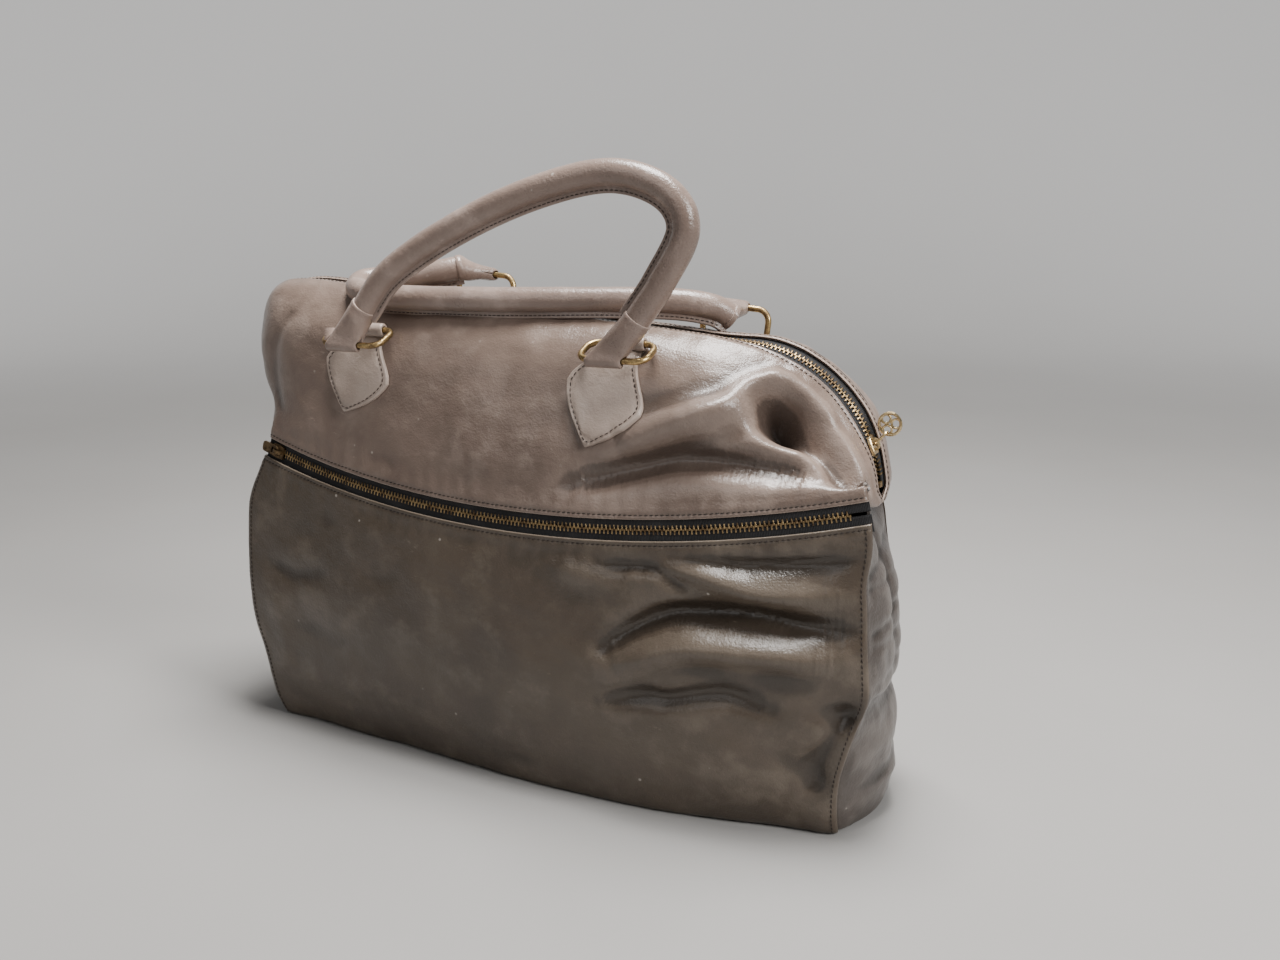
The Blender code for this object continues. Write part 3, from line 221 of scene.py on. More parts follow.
def upper_surface(u, v, opening, way=1.0):
    """Upper panel: v runs from the front zip (0) to the ridge (1); way is -1 for the back one."""
    point, _, _, width = front_zip_at(u)
    low_edge = point + width * opening / 2
    low_hem = low_edge + width * HEM_WIDTH
    distance = u * (TOP_ZIP_LENGTH + 2 * NOSE_LENGTH) - NOSE_LENGTH
    ridge, _, outward = ridge_at(distance)
    across = ridge_frame(distance)[2] * [way, 1.0, way]
    top_edge = ridge - across * ridge_half_opening(distance)[..., None]
    top_hem = top_edge - (across if way > 0 else np.array([0.0, 1.0, 0.0])) * HEM_WIDTH
    rise = top_hem - low_hem
    reach_low = UPPER_FULLNESS * np.maximum(np.abs(rise[..., 2:3]), 0.012)
    reach_top = SHOULDER_FULLNESS * np.maximum(np.abs(rise[..., 1:2]), 0.012)
    drop = SHOULDER_SLOPE - 0.7 * np.sum(across * -outward, axis=-1, keepdims=True)
    shoulder = np.array([0.0, -1.0, 0.0]) - outward * drop
    share = v[..., None]
    t = np.clip((share - HEM_SHARE) / (1.0 - 2 * HEM_SHARE), 0.0, 1.0)
    middle = bezier(low_hem, low_hem + width * reach_low,
                    top_hem + shoulder * reach_top, top_hem, t)
    low = low_edge + (low_hem - low_edge) * share / HEM_SHARE
    high = top_edge + (top_hem - top_edge) * (1.0 - share) / HEM_SHARE
    points = np.where(share < HEM_SHARE, low, np.where(share > 1.0 - HEM_SHARE, high, middle))
    if way < 0:
        points[..., 0] += side_shift(u, points[..., 2], way) * (1.0 - smooth((v - 0.12) / 0.6))
    return points


def lower_surface(u, v, opening, way=1.0):
    """Lower panel: v runs from the base (0) to the front zip (1)."""
    point, _, _, width = front_zip_at(u)
    top_edge = point - width * opening / 2
    top_hem = top_edge - width * HEM_WIDTH
    low_edge = base_edge(u)
    share = v[..., None]
    t = np.clip(share / (1.0 - HEM_SHARE), 0.0, 1.0)
    height = (top_hem - low_edge)[..., 2:3]
    flare = unit(np.array([0.0, -LOWER_BASE_FLARE, 1.0]))
    middle = bezier(low_edge, low_edge + flare * height * LOWER_FULLNESS,
                    top_hem - width * height * LOWER_FULLNESS, top_hem, t)
    high = top_edge + (top_hem - top_edge) * (1.0 - share) / HEM_SHARE
    points = np.where(share > 1.0 - HEM_SHARE, high, middle)
    points[..., 0] += side_shift(u, points[..., 2], way)
    return points


# ---------------------------------------------------------------- finishes

class Socket:
    """A number or colour inside a material; arithmetic on it adds Math nodes."""

    def __init__(self, finish, link):
        self.finish = finish
        self.link = link

    def math(self, operation, *values):
        return self.finish.node("ShaderNodeMath", {"operation": operation}, values)

    def __add__(self, other):
        return self.math("ADD", self, other)

    def __sub__(self, other):
        return self.math("SUBTRACT", self, other)

    def __rsub__(self, other):
        return self.math("SUBTRACT", other, self)

    def __mul__(self, other):
        return self.math("MULTIPLY", self, other)

    def clamp(self):
        return self.finish.node("ShaderNodeMath", {"operation": "ADD", "use_clamp": True},
                                (self, 0.0))

    __radd__ = __add__


class Finish:
    """A material with one Principled shader, built up from expressions."""

    def __init__(self, name, **constants):
        self.material = bpy.data.materials.new(name)
        self.material.use_nodes = True
        self.tree = self.material.node_tree
        self.shader = self.tree.nodes["Principled BSDF"]
        for label, value in constants.items():
            self.shader.inputs[label.replace("_", " ")].default_value = value
        self.place = self.node("ShaderNodeTexCoord", output="Object")

    def node(self, kind, settings=None, values=(), output=0):
        """Adds one node: settings first, then socket values or links; returns one output."""
        made = self.tree.nodes.new(kind)
        for label, value in (settings or {}).items():
            setattr(made, label, value)
        pairs = values.items() if isinstance(values, dict) else enumerate(values)
        for label, value in pairs:
            if isinstance(value, Socket):
                self.tree.links.new(value.link, made.inputs[label])
            else:
                made.inputs[label].default_value = value
        return Socket(self, made.outputs[output])

    def stretched(self, scale, shift=(0.0, 0.0, 0.0)):
        return self.node("ShaderNodeMapping", None,
                         {"Vector": self.place, "Scale": scale, "Location": shift})

    def noise(self, scale, detail=3.0, rough=0.55, where=None):
        return self.node("ShaderNodeTexNoise", None,
                         {"Vector": where or self.place, "Scale": scale, "Detail": detail,
                          "Roughness": rough})

    def cells(self, scale, feature="F1"):
        return self.node("ShaderNodeTexVoronoi", {"feature": feature},
                         {"Vector": self.place, "Scale": scale}, "Distance")

    def ramp(self, value, low, high):
        """Rises smoothly from 0 at low to 1 at high."""
        return self.node("ShaderNodeMapRange", {"interpolation_type": "SMOOTHSTEP"},
                         {"Value": value, "From Min": low, "From Max": high})

    def attribute(self, name):
        return self.node("ShaderNodeAttribute", {"attribute_name": name}, output="Fac")

    def blend(self, share, first, second):
        """Colour from first to second; each is a colour or another blend."""
        first = first if isinstance(first, Socket) else (*first, 1.0)
        second = second if isinstance(second, Socket) else (*second, 1.0)
        return self.node("ShaderNodeMix", {"data_type": "RGBA"}, {0: share, 6: first, 7: second}, 2)

    def relief(self, height, depth):
        return self.node("ShaderNodeBump", None,
                         {"Height": height, "Strength": 1.0, "Distance": depth}, "Normal")

    def paint(self, **links):
        for label, value in links.items():
            self.tree.links.new(value.link, self.shader.inputs[label.replace("_", " ")])
        return self.material


def leather(name, base, deep, pale, gloss, worn=0.5):
    """Smooth aged hide: fine grain, mottled dye, rubbed ridges, scuffs, a few pale flecks and
    painted shade in the creases.
    """
    skin = Finish(name, Specular_IOR_Level=0.5, Coat_Weight=0.06, Coat_Roughness=0.22)
    mottle = skin.noise(13.0, 4.0, 0.6)
    patches = skin.noise(46.0, 5.0, 0.62)
    crease = skin.attribute("crease")
    edge = skin.attribute("edge")
    pores = skin.cells(1150.0)
    pebbles = skin.cells(640.0, "SMOOTH_F1")
    fine = skin.noise(1900.0, 2.0)
    wrinkles = skin.noise(210.0, 4.0, 0.65, skin.stretched((1.0, 1.0, 1.7)))
    rubbed = skin.ramp(patches + crease * 0.35, 0.56, 0.80) * worn
    scuff_field = skin.noise(95.0, 6.0, 0.72, skin.stretched((0.55, 1.0, 1.5), (3.1, 0.4, 1.7)))
    scuffs = skin.ramp(scuff_field, 0.635, 0.72) * skin.ramp(mottle, 0.40, 0.62)
    flecks = 1.0 - skin.ramp(skin.cells(62.0), 0.035, 0.075)
    flecks = flecks * skin.ramp(mottle, 0.52, 0.60)
    colour = skin.blend(skin.ramp(mottle, 0.30, 0.72), deep, base)
    colour = skin.blend(skin.ramp(patches, 0.42, 0.80) * 0.35, colour, pale)
    # painted shade: the valleys of the crease mask are blended towards a much darker brown, in
    # place of the shade that falls in the folds and the deep pocket
    shade = tuple(c * 0.36 for c in deep)
    colour = skin.blend(skin.ramp(crease, -0.15, -1.0) * 0.66, colour, shade)
    colour = skin.blend(rubbed * 0.5, colour, pale)
    colour = skin.blend(scuffs * 0.35, colour, tuple(min(c * 1.5, 1.0) for c in pale))
    colour = skin.blend(flecks * 0.55, colour, (0.52, 0.48, 0.43))
    colour = skin.blend(skin.ramp(edge, 0.35, 1.0) * 0.75, colour, tuple(c * 1.55 for c in pale))
    rough = (gloss + (mottle - 0.5) * 0.16 + rubbed * 0.06 + scuffs * 0.16 + flecks * 0.2
             + (pebbles - 0.4) * 0.05).clamp()
    grain = pebbles * 0.75 + pores * 0.45 + fine * 0.25 + wrinkles * 1.5 + scuffs * 0.2
    return skin.paint(Base_Color=colour, Roughness=rough, Normal=skin.relief(grain, 0.00016))


def brass(name, bright, tarnish, gloss):
    """Cast or drawn brass: bright and tarnished brown in cloudy patches, lightly scratched."""
    metal = Finish(name, Metallic=1.0)
    clouds = metal.noise(170.0, 4.0, 0.65)
    spots = metal.noise(900.0, 3.0, 0.7)
    hairlines = metal.noise(420.0, 3.0, 0.6, metal.stretched((6.0, 1.0, 1.0)))
    age = metal.ramp(clouds + (spots - 0.5) * 0.5, 0.40, 0.66)
    colour = metal.blend(age, bright, tarnish)
    rough = (gloss + age * 0.20 + (hairlines - 0.5) * 0.18).clamp()
    return metal.paint(Base_Color=colour, Roughness=rough,
                       Normal=metal.relief(hairlines * 0.6 + spots * 0.5, 0.00004))


def woven(name, dark, light, pitch):
    """Ribbed tape or plain cloth; the ribs follow the piece's own run attribute."""
    cloth = Finish(name, Roughness=0.86, Specular_IOR_Level=0.22)
    run = cloth.attribute("run") * (2 * math.pi / pitch)
    rib = run.math("SINE", run) * 0.5 + 0.5
    fuzz = cloth.noise(2600.0, 2.0)
    wear = cloth.noise(60.0, 3.0)
    colour = cloth.blend((rib * 0.6 + fuzz * 0.5).clamp(), dark, light)
    colour = cloth.blend(cloth.ramp(wear, 0.45, 0.75) * 0.3, colour, tuple(c * 1.8 for c in light))
    return cloth.paint(Base_Color=colour, Normal=cloth.relief(rib + fuzz * 0.6, 0.00012))


def thread(name, colour):
    """Waxed sewing thread with its twist."""
    yarn = Finish(name, Roughness=0.62, Specular_IOR_Level=0.3)
    twist = yarn.noise(3200.0, 2.0, where=yarn.stretched((1.0, 0.4, 0.4)))
    dirt = yarn.noise(120.0, 3.0)
    shade = yarn.blend(yarn.ramp(dirt, 0.35, 0.7), tuple(c * 0.55 for c in colour), colour)
    return yarn.paint(Base_Color=yarn.blend(twist * 0.4, shade, tuple(c * 0.5 for c in colour)),
                      Normal=yarn.relief(twist, 0.00008))


def plain_floor():
    """Pale floor that keeps its brightness where it sweeps up into the backdrop."""
    ground = Finish("pale floor", Roughness=0.9, Specular_IOR_Level=0.15, Emission_Strength=1.0)
    drift = ground.noise(3.0, 3.0)
    away = ground.node("ShaderNodeVectorMath", {"operation": "LENGTH"}, (ground.place,), "Value")
    glow = ground.blend(ground.ramp(away, 0.7, 3.4), (0.0, 0.0, 0.0), (0.50, 0.495, 0.49))
    return ground.paint(Base_Color=ground.blend(drift, (0.27, 0.262, 0.254), (0.31, 0.302, 0.294)),
                        Emission_Color=glow)


UPPER_HIDE = leather("upper hide", (0.178, 0.129, 0.104), (0.120, 0.086, 0.069),
                     (0.300, 0.235, 0.198), 0.31)
LOWER_HIDE = leather("lower hide", (0.080, 0.060, 0.043), (0.054, 0.040, 0.029),
                     (0.155, 0.125, 0.096), 0.32)
SIDE_HIDE = leather("side hide", (0.062, 0.050, 0.043), (0.040, 0.032, 0.028),
                    (0.170, 0.148, 0.132), 0.31)
LEAF_HIDE = leather("leaf hide", (0.340, 0.270, 0.228), (0.260, 0.204, 0.171),
                    (0.450, 0.380, 0.335), 0.35)
HANDLE_HIDE = leather("handle hide", (0.222, 0.162, 0.134), (0.150, 0.109, 0.090),
                      (0.360, 0.285, 0.248), 0.29, 0.8)
OLD_BRASS = brass("old brass", (0.52, 0.37, 0.17), (0.17, 0.11, 0.055), 0.30)
TOOTH_BRASS = brass("tooth brass", (0.38, 0.27, 0.14), (0.11, 0.072, 0.042), 0.34)
DARK_BRASS = brass("dark brass", (0.19, 0.13, 0.07), (0.060, 0.041, 0.026), 0.42)
PALE_BRASS = brass("pale brass", (0.72, 0.57, 0.33), (0.36, 0.26, 0.13), 0.25)
ZIP_TAPE = woven("zip tape", (0.012, 0.012, 0.013), (0.034, 0.033, 0.034), 0.0009)
LINING_CLOTH = woven("lining cloth", (0.020, 0.018, 0.018), (0.045, 0.042, 0.042), 0.0016)
CORE_CORD = woven("core cord", (0.20, 0.17, 0.13), (0.38, 0.34, 0.27), 0.0030)
BOARD = woven("pressed board", (0.14, 0.11, 0.08), (0.22, 0.18, 0.13), 0.0200)
HIDE_THREAD = thread("seam thread", (0.034, 0.024, 0.019))
DARK_THREAD = thread("leaf thread", (0.060, 0.042, 0.034))


# ---------------------------------------------------------------- meshes

def add_mesh(name, verts, faces, finish, attributes=None, sharp=38.0):
    """A closed piece in place, with outward faces, smooth shading and its point attributes."""
    mesh = bpy.data.meshes.new(name)
    mesh.from_pydata(np.asarray(verts, float).reshape(-1, 3).tolist(), [], faces)
    for label, values in (attributes or {}).items():
        layer = mesh.attributes.new(label, "FLOAT", "POINT")
        layer.data.foreach_set("value", np.asarray(values, np.float32).ravel())
    work = bmesh.new()
    work.from_mesh(mesh)
    bmesh.ops.recalc_face_normals(work, faces=work.faces)
    work.to_mesh(mesh)
    work.free()
    mesh.shade_smooth()
    mesh.set_sharp_from_angle(angle=math.radians(sharp))
    mesh.materials.append(finish)
    piece = bpy.data.objects.new(name, mesh)
    bpy.context.scene.collection.objects.link(piece)
    return piece


def finish_piece(piece, body, slot, *nodes):
    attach(piece, body)
    if nodes:
        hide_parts(*nodes)
    return piece


def shell(outer, inner):
    """Vertices and faces of a closed sheet between two grids."""
    rows, columns = outer.shape[:2]
    below = rows * columns
    index = np.arange(below).reshape(rows, columns)
    a, b, c, d = index[:-1, :-1], index[:-1, 1:], index[1:, 1:], index[1:, :-1]
    top = np.stack([a, b, c, d], -1).reshape(-1, 4)
    bottom = np.stack([a, d, c, b], -1).reshape(-1, 4) + below
    rim = np.concatenate([index[0, :-1], index[:-1, -1], index[-1, :0:-1], index[:0:-1, 0]])
    following = np.roll(rim, -1)
    side = np.stack([rim, rim + below, following + below, following], -1)
    verts = np.concatenate([outer.reshape(-1, 3), inner.reshape(-1, 3)])
    return verts, np.concatenate([top, bottom, side]).tolist()


def loft(loops, closed=False):
    """Vertices and faces of a skin over equal loops; ends are capped unless it is closed."""
    loops = np.asarray(loops, float)
    rows, count = loops.shape[:2]
    index = np.arange(rows * count).reshape(rows, count)
    there = np.roll(index, -1, axis=0) if closed else index[1:]
    here = index if closed else index[:-1]
    faces = np.stack([here, np.roll(here, -1, 1), np.roll(there, -1, 1), there], -1)
    faces = faces.reshape(-1, 4).tolist()
    if not closed:
        faces += [index[0].tolist(), index[-1].tolist()]
    return loops.reshape(-1, 3), faces


def grid_normals(points):
    across = np.gradient(points, axis=1)
    up = np.gradient(points, axis=0)
    return unit(np.cross(across, up))


def run_along(points, axis):
    """Distance travelled along one axis of a grid of points."""
    steps = np.linalg.norm(np.diff(points, axis=axis), axis=-1)
    first = np.zeros_like(steps.take([0], axis))
    return np.concatenate([first, np.cumsum(steps, axis)], axis)


def blurred(field, times):
    for _ in range(times):
        padded = np.pad(field, 1, mode="edge")
        field = (padded[:-2, 1:-1] + padded[2:, 1:-1] + padded[1:-1, :-2] + padded[1:-1, 2:]) / 4
    return field


def speckle(points, size, octaves, seed):
    """Smooth noise of about one unit, with features of a given size, at every point."""
    shift = Vector((seed * 3.7, seed * 1.9, seed * 5.3))
    flat = points.reshape(-1, 3) / size
    values = [noise.fractal(Vector(p) + shift, 0.9, 2.0, octaves) for p in flat.tolist()]
    return np.array(values).reshape(points.shape[:-1])


def rolled_edge(distance, radius, depth):
    """How far a folded edge turns down, from nothing at a radius in to the depth at the rim."""
    share = 1.0 - np.clip(distance / radius, 0.0, 1.0)
    return -depth * (1.0 - np.sqrt(np.maximum(1.0 - share * share, 0.0)))


def smooth_line(points, samples):
    """Even samples of a smooth curve through a few points of any dimension."""
    points = np.asarray(points, float)
    ends = np.vstack([2 * points[0] - points[1], points, 2 * points[-1] - points[-2]])
    dense = []
    for k in range(1, len(ends) - 2):
        p0, p1, p2, p3 = ends[k - 1:k + 3]
        t = np.linspace(0.0, 1.0, 17)[:-1, None]
        dense.append(0.5 * (2 * p1 + (p2 - p0) * t + (2 * p0 - 5 * p1 + 4 * p2 - p3) * t ** 2
                            + (3 * p1 - p0 - 3 * p2 + p3) * t ** 3))
    dense = np.vstack(dense + [ends[-2:-1]])
    run = np.concatenate([[0.0], np.cumsum(np.linalg.norm(np.diff(dense, axis=0), axis=1))])
    targets = np.linspace(0.0, run[-1], samples)
    return np.stack([np.interp(targets, run, dense[:, k]) for k in range(points.shape[1])], -1)


class Sheet:
    """A leather panel as a grid of points that is sculpted along its normals.

    x is the place along the bag and height the run up the panel from its lower edge."""

    def __init__(self, points):
        self.points = points
        self.normals = grid_normals(points)
        self.height = run_along(points, 0)
        self.below_top = self.height[-1:] - self.height
        self.from_left = run_along(points, 1)
        self.from_right = self.from_left[:, -1:] - self.from_left
        self.sides = (self.from_left, self.from_right)
        self.x = points[..., 0].copy()
        self.relief = np.zeros_like(self.x)

    def near(self, line):
        """Distance to a smooth line of (x, height) in millimetres, the side and the share along."""
        path = smooth_line(np.asarray(line) * MM, 40)
        ahead = np.gradient(path, axis=0)
        ahead /= np.linalg.norm(ahead, axis=1, keepdims=True)
        best = np.full(self.x.shape, np.inf)
        side = np.zeros_like(self.x)
        share = np.zeros_like(self.x)
        for k, (px, ph) in enumerate(path):
            dx, dh = self.x - px, self.height - ph
            gap = np.hypot(dx, dh)
            closer = gap < best
            best = np.where(closer, gap, best)
            side = np.where(closer, ahead[k, 0] * dh - ahead[k, 1] * dx, side)
            share = np.where(closer, k / (len(path) - 1), share)
        return best, side, share

    def fold(self, line, amount, width, lip=0.0, taper=0.5):
        """A ridge (or a valley, when negative) along a line; lip lifts the side above it."""
        distance, side, share = self.near(line)
        fade = np.sin(np.pi * np.clip(share, 0.02, 0.98)) ** taper
        width = width * MM
        change = amount * MM * bump(distance, width)
        change += lip * MM * bump(side - 1.5 * width, width) * bump(distance, 3.0 * width)
        self.relief += change * fade

    def hollow(self, x, height, depth, wide, tall, turn_by=0.0, power=2.0):
        """A rounded dent (or a swelling, when negative) at a place on the panel."""
        dx, dh = self.x - x * MM, self.height - height * MM
        c, s = math.cos(math.radians(turn_by)), math.sin(math.radians(turn_by))
        a = (dx * c + dh * s) / (wide * MM)
        b = (dh * c - dx * s) / (tall * MM)
        self.relief -= depth * MM * np.exp(-np.hypot(a, b) ** power)

    def settle(self):
        """Applies the relief, then finds the sculpted surface's normals and its crease mask, which
        the hide finishes use to paint shade into the valleys.

        backing is where a gusset meets the sheet, and inside is clear of its deepest folds."""
        deepest = np.min([np.roll(self.relief, (a, b), (0, 1)) for a in (-10, -6, -3, 0, 3, 6, 10)
                          for b in (-8, -4, 0, 4, 8)], axis=0)
        deepest = np.minimum(deepest, 0.0) - LINING_DROP
        self.inside = self.points + self.normals * deepest[..., None]
        self.backing = self.points + self.normals * (self.relief - SEAM_TUCK)[..., None]
        self.points = self.points + self.normals * self.relief[..., None]
        self.normals = grid_normals(self.points)
        detail = self.relief - blurred(self.relief, 60)
        self.crease = np.clip(detail / (1.1 * MM), -1.0, 1.0)


def sheet_piece(name, sheet, thickness, finish, edge):
    inner = sheet.points - sheet.normals * thickness
    verts, faces = shell(sheet.points, inner)
    masks = {"crease": np.concatenate([sheet.crease.ravel()] * 2),
             "edge": np.concatenate([edge.ravel(), np.ones(edge.size) * 0.6])}
    return add_mesh(name, verts, faces, finish, masks)


# ---------------------------------------------------------------- what repeats along a path

def new_tree(name, sockets):
    """A Geometry Nodes tree with named inputs; returns it, a node maker and its input node."""
    tree = bpy.data.node_groups.new(name, "GeometryNodeTree")
    tree.interface.new_socket("Geometry", in_out="OUTPUT", socket_type="NodeSocketGeometry")
    tree.interface.new_socket("Geometry", in_out="INPUT", socket_type="NodeSocketGeometry")
    for label, kind in sockets:
        tree.interface.new_socket(label, in_out="INPUT", socket_type="NodeSocket" + kind)
    given = tree.nodes.new("NodeGroupInput").outputs

    def add(kind, settings=None, links=None):
        made = tree.nodes.new(kind)
        for label, value in (settings or {}).items():
            setattr(made, label, value)
        for label, value in (links or {}).items():
            if isinstance(value, bpy.types.NodeSocket):
                tree.links.new(value, made.inputs[label])
            else:
                made.inputs[label].default_value = value
        return made.outputs

    return tree, add, given


def close_tree(tree, add, geometry, finish):
    real = add("GeometryNodeRealizeInstances", None, {0: geometry})[0]
    painted = add("GeometryNodeSetMaterial", None, {"Geometry": real, "Material": finish})[0]
    out = tree.nodes.new("NodeGroupOutput")
    tree.links.new(painted, out.inputs[0])
    return tree


def row_tree():
    """Copies of one small piece, evenly spaced along every chain of edges."""
    tree, add, given = new_tree("row along a seam", (
        ("Pitch", "Float"), ("Piece", "Object"), ("Slant", "Float"), ("Wobble", "Float"),
        ("Seed", "Int"), ("Finish", "Material")))
    line = add("GeometryNodeMeshToCurve", None, {"Mesh": given["Geometry"]})[0]
    even = add("GeometryNodeResampleCurve", {"mode": "LENGTH"},
               {"Curve": line, "Length": given["Pitch"]})[0]
    along = add("GeometryNodeInputNamedAttribute", {"data_type": "FLOAT_VECTOR"},
                {"Name": "along"})[0]
    outward = add("GeometryNodeInputNamedAttribute", {"data_type": "FLOAT_VECTOR"},
                  {"Name": "outward"})[0]
    facing = add("FunctionNodeAxesToRotation", {"primary_axis": "Z", "secondary_axis": "X"},
                 {0: outward, 1: along})[0]
    chance = add("FunctionNodeRandomValue", {"data_type": "FLOAT_VECTOR"},
                 {"Min": (-1.0, -1.0, -1.0), "Max": (1.0, 1.0, 1.0), "Seed": given["Seed"]})[0]
    wobble = add("ShaderNodeVectorMath", {"operation": "SCALE"},
                 {0: chance, "Scale": given["Wobble"]})[0]
    slant = add("ShaderNodeCombineXYZ", None, {"Z": given["Slant"]})[0]
    total = add("ShaderNodeVectorMath", {"operation": "ADD"}, {0: wobble, 1: slant})[0]
    jitter = add("FunctionNodeEulerToRotation", None, {0: total})[0]
    turned = add("FunctionNodeRotateRotation", {"rotation_space": "LOCAL"},
                 {0: facing, 1: jitter})[0]
    piece = add("GeometryNodeObjectInfo", {"transform_space": "ORIGINAL"},
                {"Object": given["Piece"]})["Geometry"]
    copies = add("GeometryNodeInstanceOnPoints", None,
                 {"Points": even, "Instance": piece, "Rotation": turned})[0]
    return close_tree(tree, add, copies, given["Finish"])


def wire_tree():
    """A round wire along every chain of edges."""
    tree, add, given = new_tree("wire along a path", (
        ("Radius", "Float"), ("Sides", "Int"), ("Finish", "Material")))
    line = add("GeometryNodeMeshToCurve", None, {"Mesh": given["Geometry"]})[0]
    round_section = add("GeometryNodeCurvePrimitiveCircle", None,
                        {"Resolution": given["Sides"], "Radius": given["Radius"]})[0]
    wire = add("GeometryNodeCurveToMesh", None,
               {"Curve": line, "Profile Curve": round_section, "Fill Caps": True})[0]
    soft = add("GeometryNodeSetShadeSmooth", None, {"Geometry": wire})[0]
    return close_tree(tree, add, soft, given["Finish"])


ROW_TREE = row_tree()
WIRE_TREE = wire_tree()


def path_object(chains, closed=False):
    """A mesh of edge chains; each chain is (points, outward normals) with its own direction."""
    verts, edges, along, outward = [], [], [], []
    for points, normals in chains:
        points = np.asarray(points, float)
        first = len(verts)
        count = len(points)
        verts += points.tolist()
        edges += [(first + k, first + k + 1) for k in range(count - 1)]
        if closed:
            edges.append((first + count - 1, first))
        along += unit(np.gradient(points, axis=0)).tolist()
        outward += np.broadcast_to(normals, points.shape).tolist()
    mesh = bpy.data.meshes.new("path")
    mesh.from_pydata(verts, edges, [])
    for label, values in (("along", along), ("outward", outward)):
        layer = mesh.attributes.new(label, "FLOAT_VECTOR", "POINT")
        layer.data.foreach_set("vector", np.asarray(values, np.float32).ravel())
    built = bpy.data.objects.new("path", mesh)
    bpy.context.scene.collection.objects.link(built)
    return built


def grown(name, tree, path, **values):
    """Runs a tree over a path object and returns the result as a plain piece."""
    modifier = path.modifiers.new("grown", "NODES")
    modifier.node_group = tree
    sockets = {item.name: item.identifier for item in tree.interface.items_tree
               if item.item_type == "SOCKET" and item.in_out == "INPUT"}
    for label, value in values.items():
        modifier[sockets[label]] = value
    path.update_tag()
    graph = bpy.context.evaluated_depsgraph_get()
    mesh = bpy.data.meshes.new_from_object(path.evaluated_get(graph))
    for label in [a.name for a in mesh.attributes if a.name in ("along", "outward")]:
        mesh.attributes.remove(mesh.attributes[label])
    bpy.data.objects.remove(path)
    piece = bpy.data.objects.new(name, mesh)
    mesh.name = name
    bpy.context.scene.collection.objects.link(piece)
    return piece


STITCH_PITCH = 3.2 * MM
STITCH_LENGTH = 2.5 * MM
STITCH_THICKNESS = 0.62 * MM
TOOTH_PITCH = 2.54 * MM


def stitch_model():
    """One stitch of thread: a short bowed strand whose ends go into the leather."""
    loops = []
    for t in np.linspace(-1.0, 1.0, 7):
        size = STITCH_THICKNESS / 2 * math.sqrt(max(1.0 - abs(t) ** 3, 0.12))
        lift = STITCH_THICKNESS * (0.34 - 0.62 * t * t)
        angles = np.arange(6) * math.pi / 3
        loops.append(vec(t * STITCH_LENGTH / 2, np.cos(angles) * size,
                         lift + np.sin(angles) * size * 0.8))
    return add_mesh("stitch", *loft(loops), HIDE_THREAD, sharp=80.0)


def tooth_model():
    """One zip tooth: a leg that clamps the tape's cord and a wider head at the middle."""
    outline = np.array([(-0.60, -0.52), (-0.60, 0.75), (-0.44, 1.15), (-0.44, 2.75),
                        (0.44, 2.75), (0.44, 1.15), (0.60, 0.75), (0.60, -0.52)]) * MM
    centre = np.array([0.0, 1.0]) * MM
    loops = []
    for level, shrink in ((-1.0, 1.0), (0.75, 1.0), (1.10, 0.86), (1.22, 0.62)):
        ring = centre + (outline - centre) * [shrink, 1.0 - (1.0 - shrink) * 0.5]
        loops.append(vec(ring[:, 0], ring[:, 1], level * MM))
    return add_mesh("tooth", *loft(loops), TOOTH_BRASS, sharp=30.0)


STITCH = stitch_model()
TOOTH = tooth_model()


def stitching(name, chains, finish, body, slot, slant=0.16, pitch=STITCH_PITCH):
    piece = grown(name, ROW_TREE, path_object(chains), Pitch=pitch, Piece=STITCH, Slant=slant,
                  Wobble=0.05, Seed=7, Finish=finish)
    return finish_piece(piece, body, slot)


# ---------------------------------------------------------------- leather panels

HEM_STEPS = np.array([0.0, 0.15, 0.4, 0.8, 1.3, 1.9, 2.6, 3.3, 4.2, 5.3, 7.0]) * MM
SEAM_ROW = 6
HEM_V = HEM_STEPS / HEM_WIDTH * HEM_SHARE
SIDE_U = np.array([0.0, 0.0012, 0.0028, 0.005, 0.008, 0.012, 0.016, 0.021])
PANEL_U = np.concatenate([SIDE_U, np.linspace(0.0245, 0.9755, 276), 1.0 - SIDE_U[::-1]])
UPPER_V = np.concatenate([HEM_V, np.linspace(HEM_SHARE, 1.0 - HEM_SHARE, 88)[1:-1],
                          1.0 - HEM_V[::-1]])
LOWER_V = np.concatenate([np.array([0.0, 0.003, 0.007, 0.012, 0.018, 0.026, 0.036]),
                          np.linspace(0.046, 1.0 - HEM_SHARE, 92)[:-1], 1.0 - HEM_V[::-1]])


def panel_sheet(surface, rows, opening, way):
    u, v = np.meshgrid(PANEL_U, rows)
    return Sheet(surface(u, v, opening, way))


def hems(sheet, low, high):
    """Keeps folds off the zip edges; low and high say which edges are sewn to a zip."""
    hold = 1.0
    for distance in sheet.sides:
        hold = hold * (smooth((distance + 2 * MM) / (14 * MM)) * 0.6 + 0.4)
    for sewn, distance in ((low, sheet.height), (high, sheet.below_top)):
        if sewn:
            hold = hold * smooth((distance - 5 * MM) / (13 * MM))
    return hold


def soften(sheet, seed, hold):
    """Slack in the hide: broad waves and a finer unevenness; returns the gathers by the zips."""
    points = sheet.points * [1.0, 1.0, 1.35]
    sheet.relief += speckle(points, 0.060, 2, seed) * 1.7 * MM * hold
    sheet.relief += speckle(points, 0.019, 3, seed + 1) * 0.34 * MM * (0.35 + 0.65 * hold)
    return np.sin(sheet.x * 2 * np.pi / 0.0127 + 2.0 * np.sin(sheet.x * 61.0 + seed))


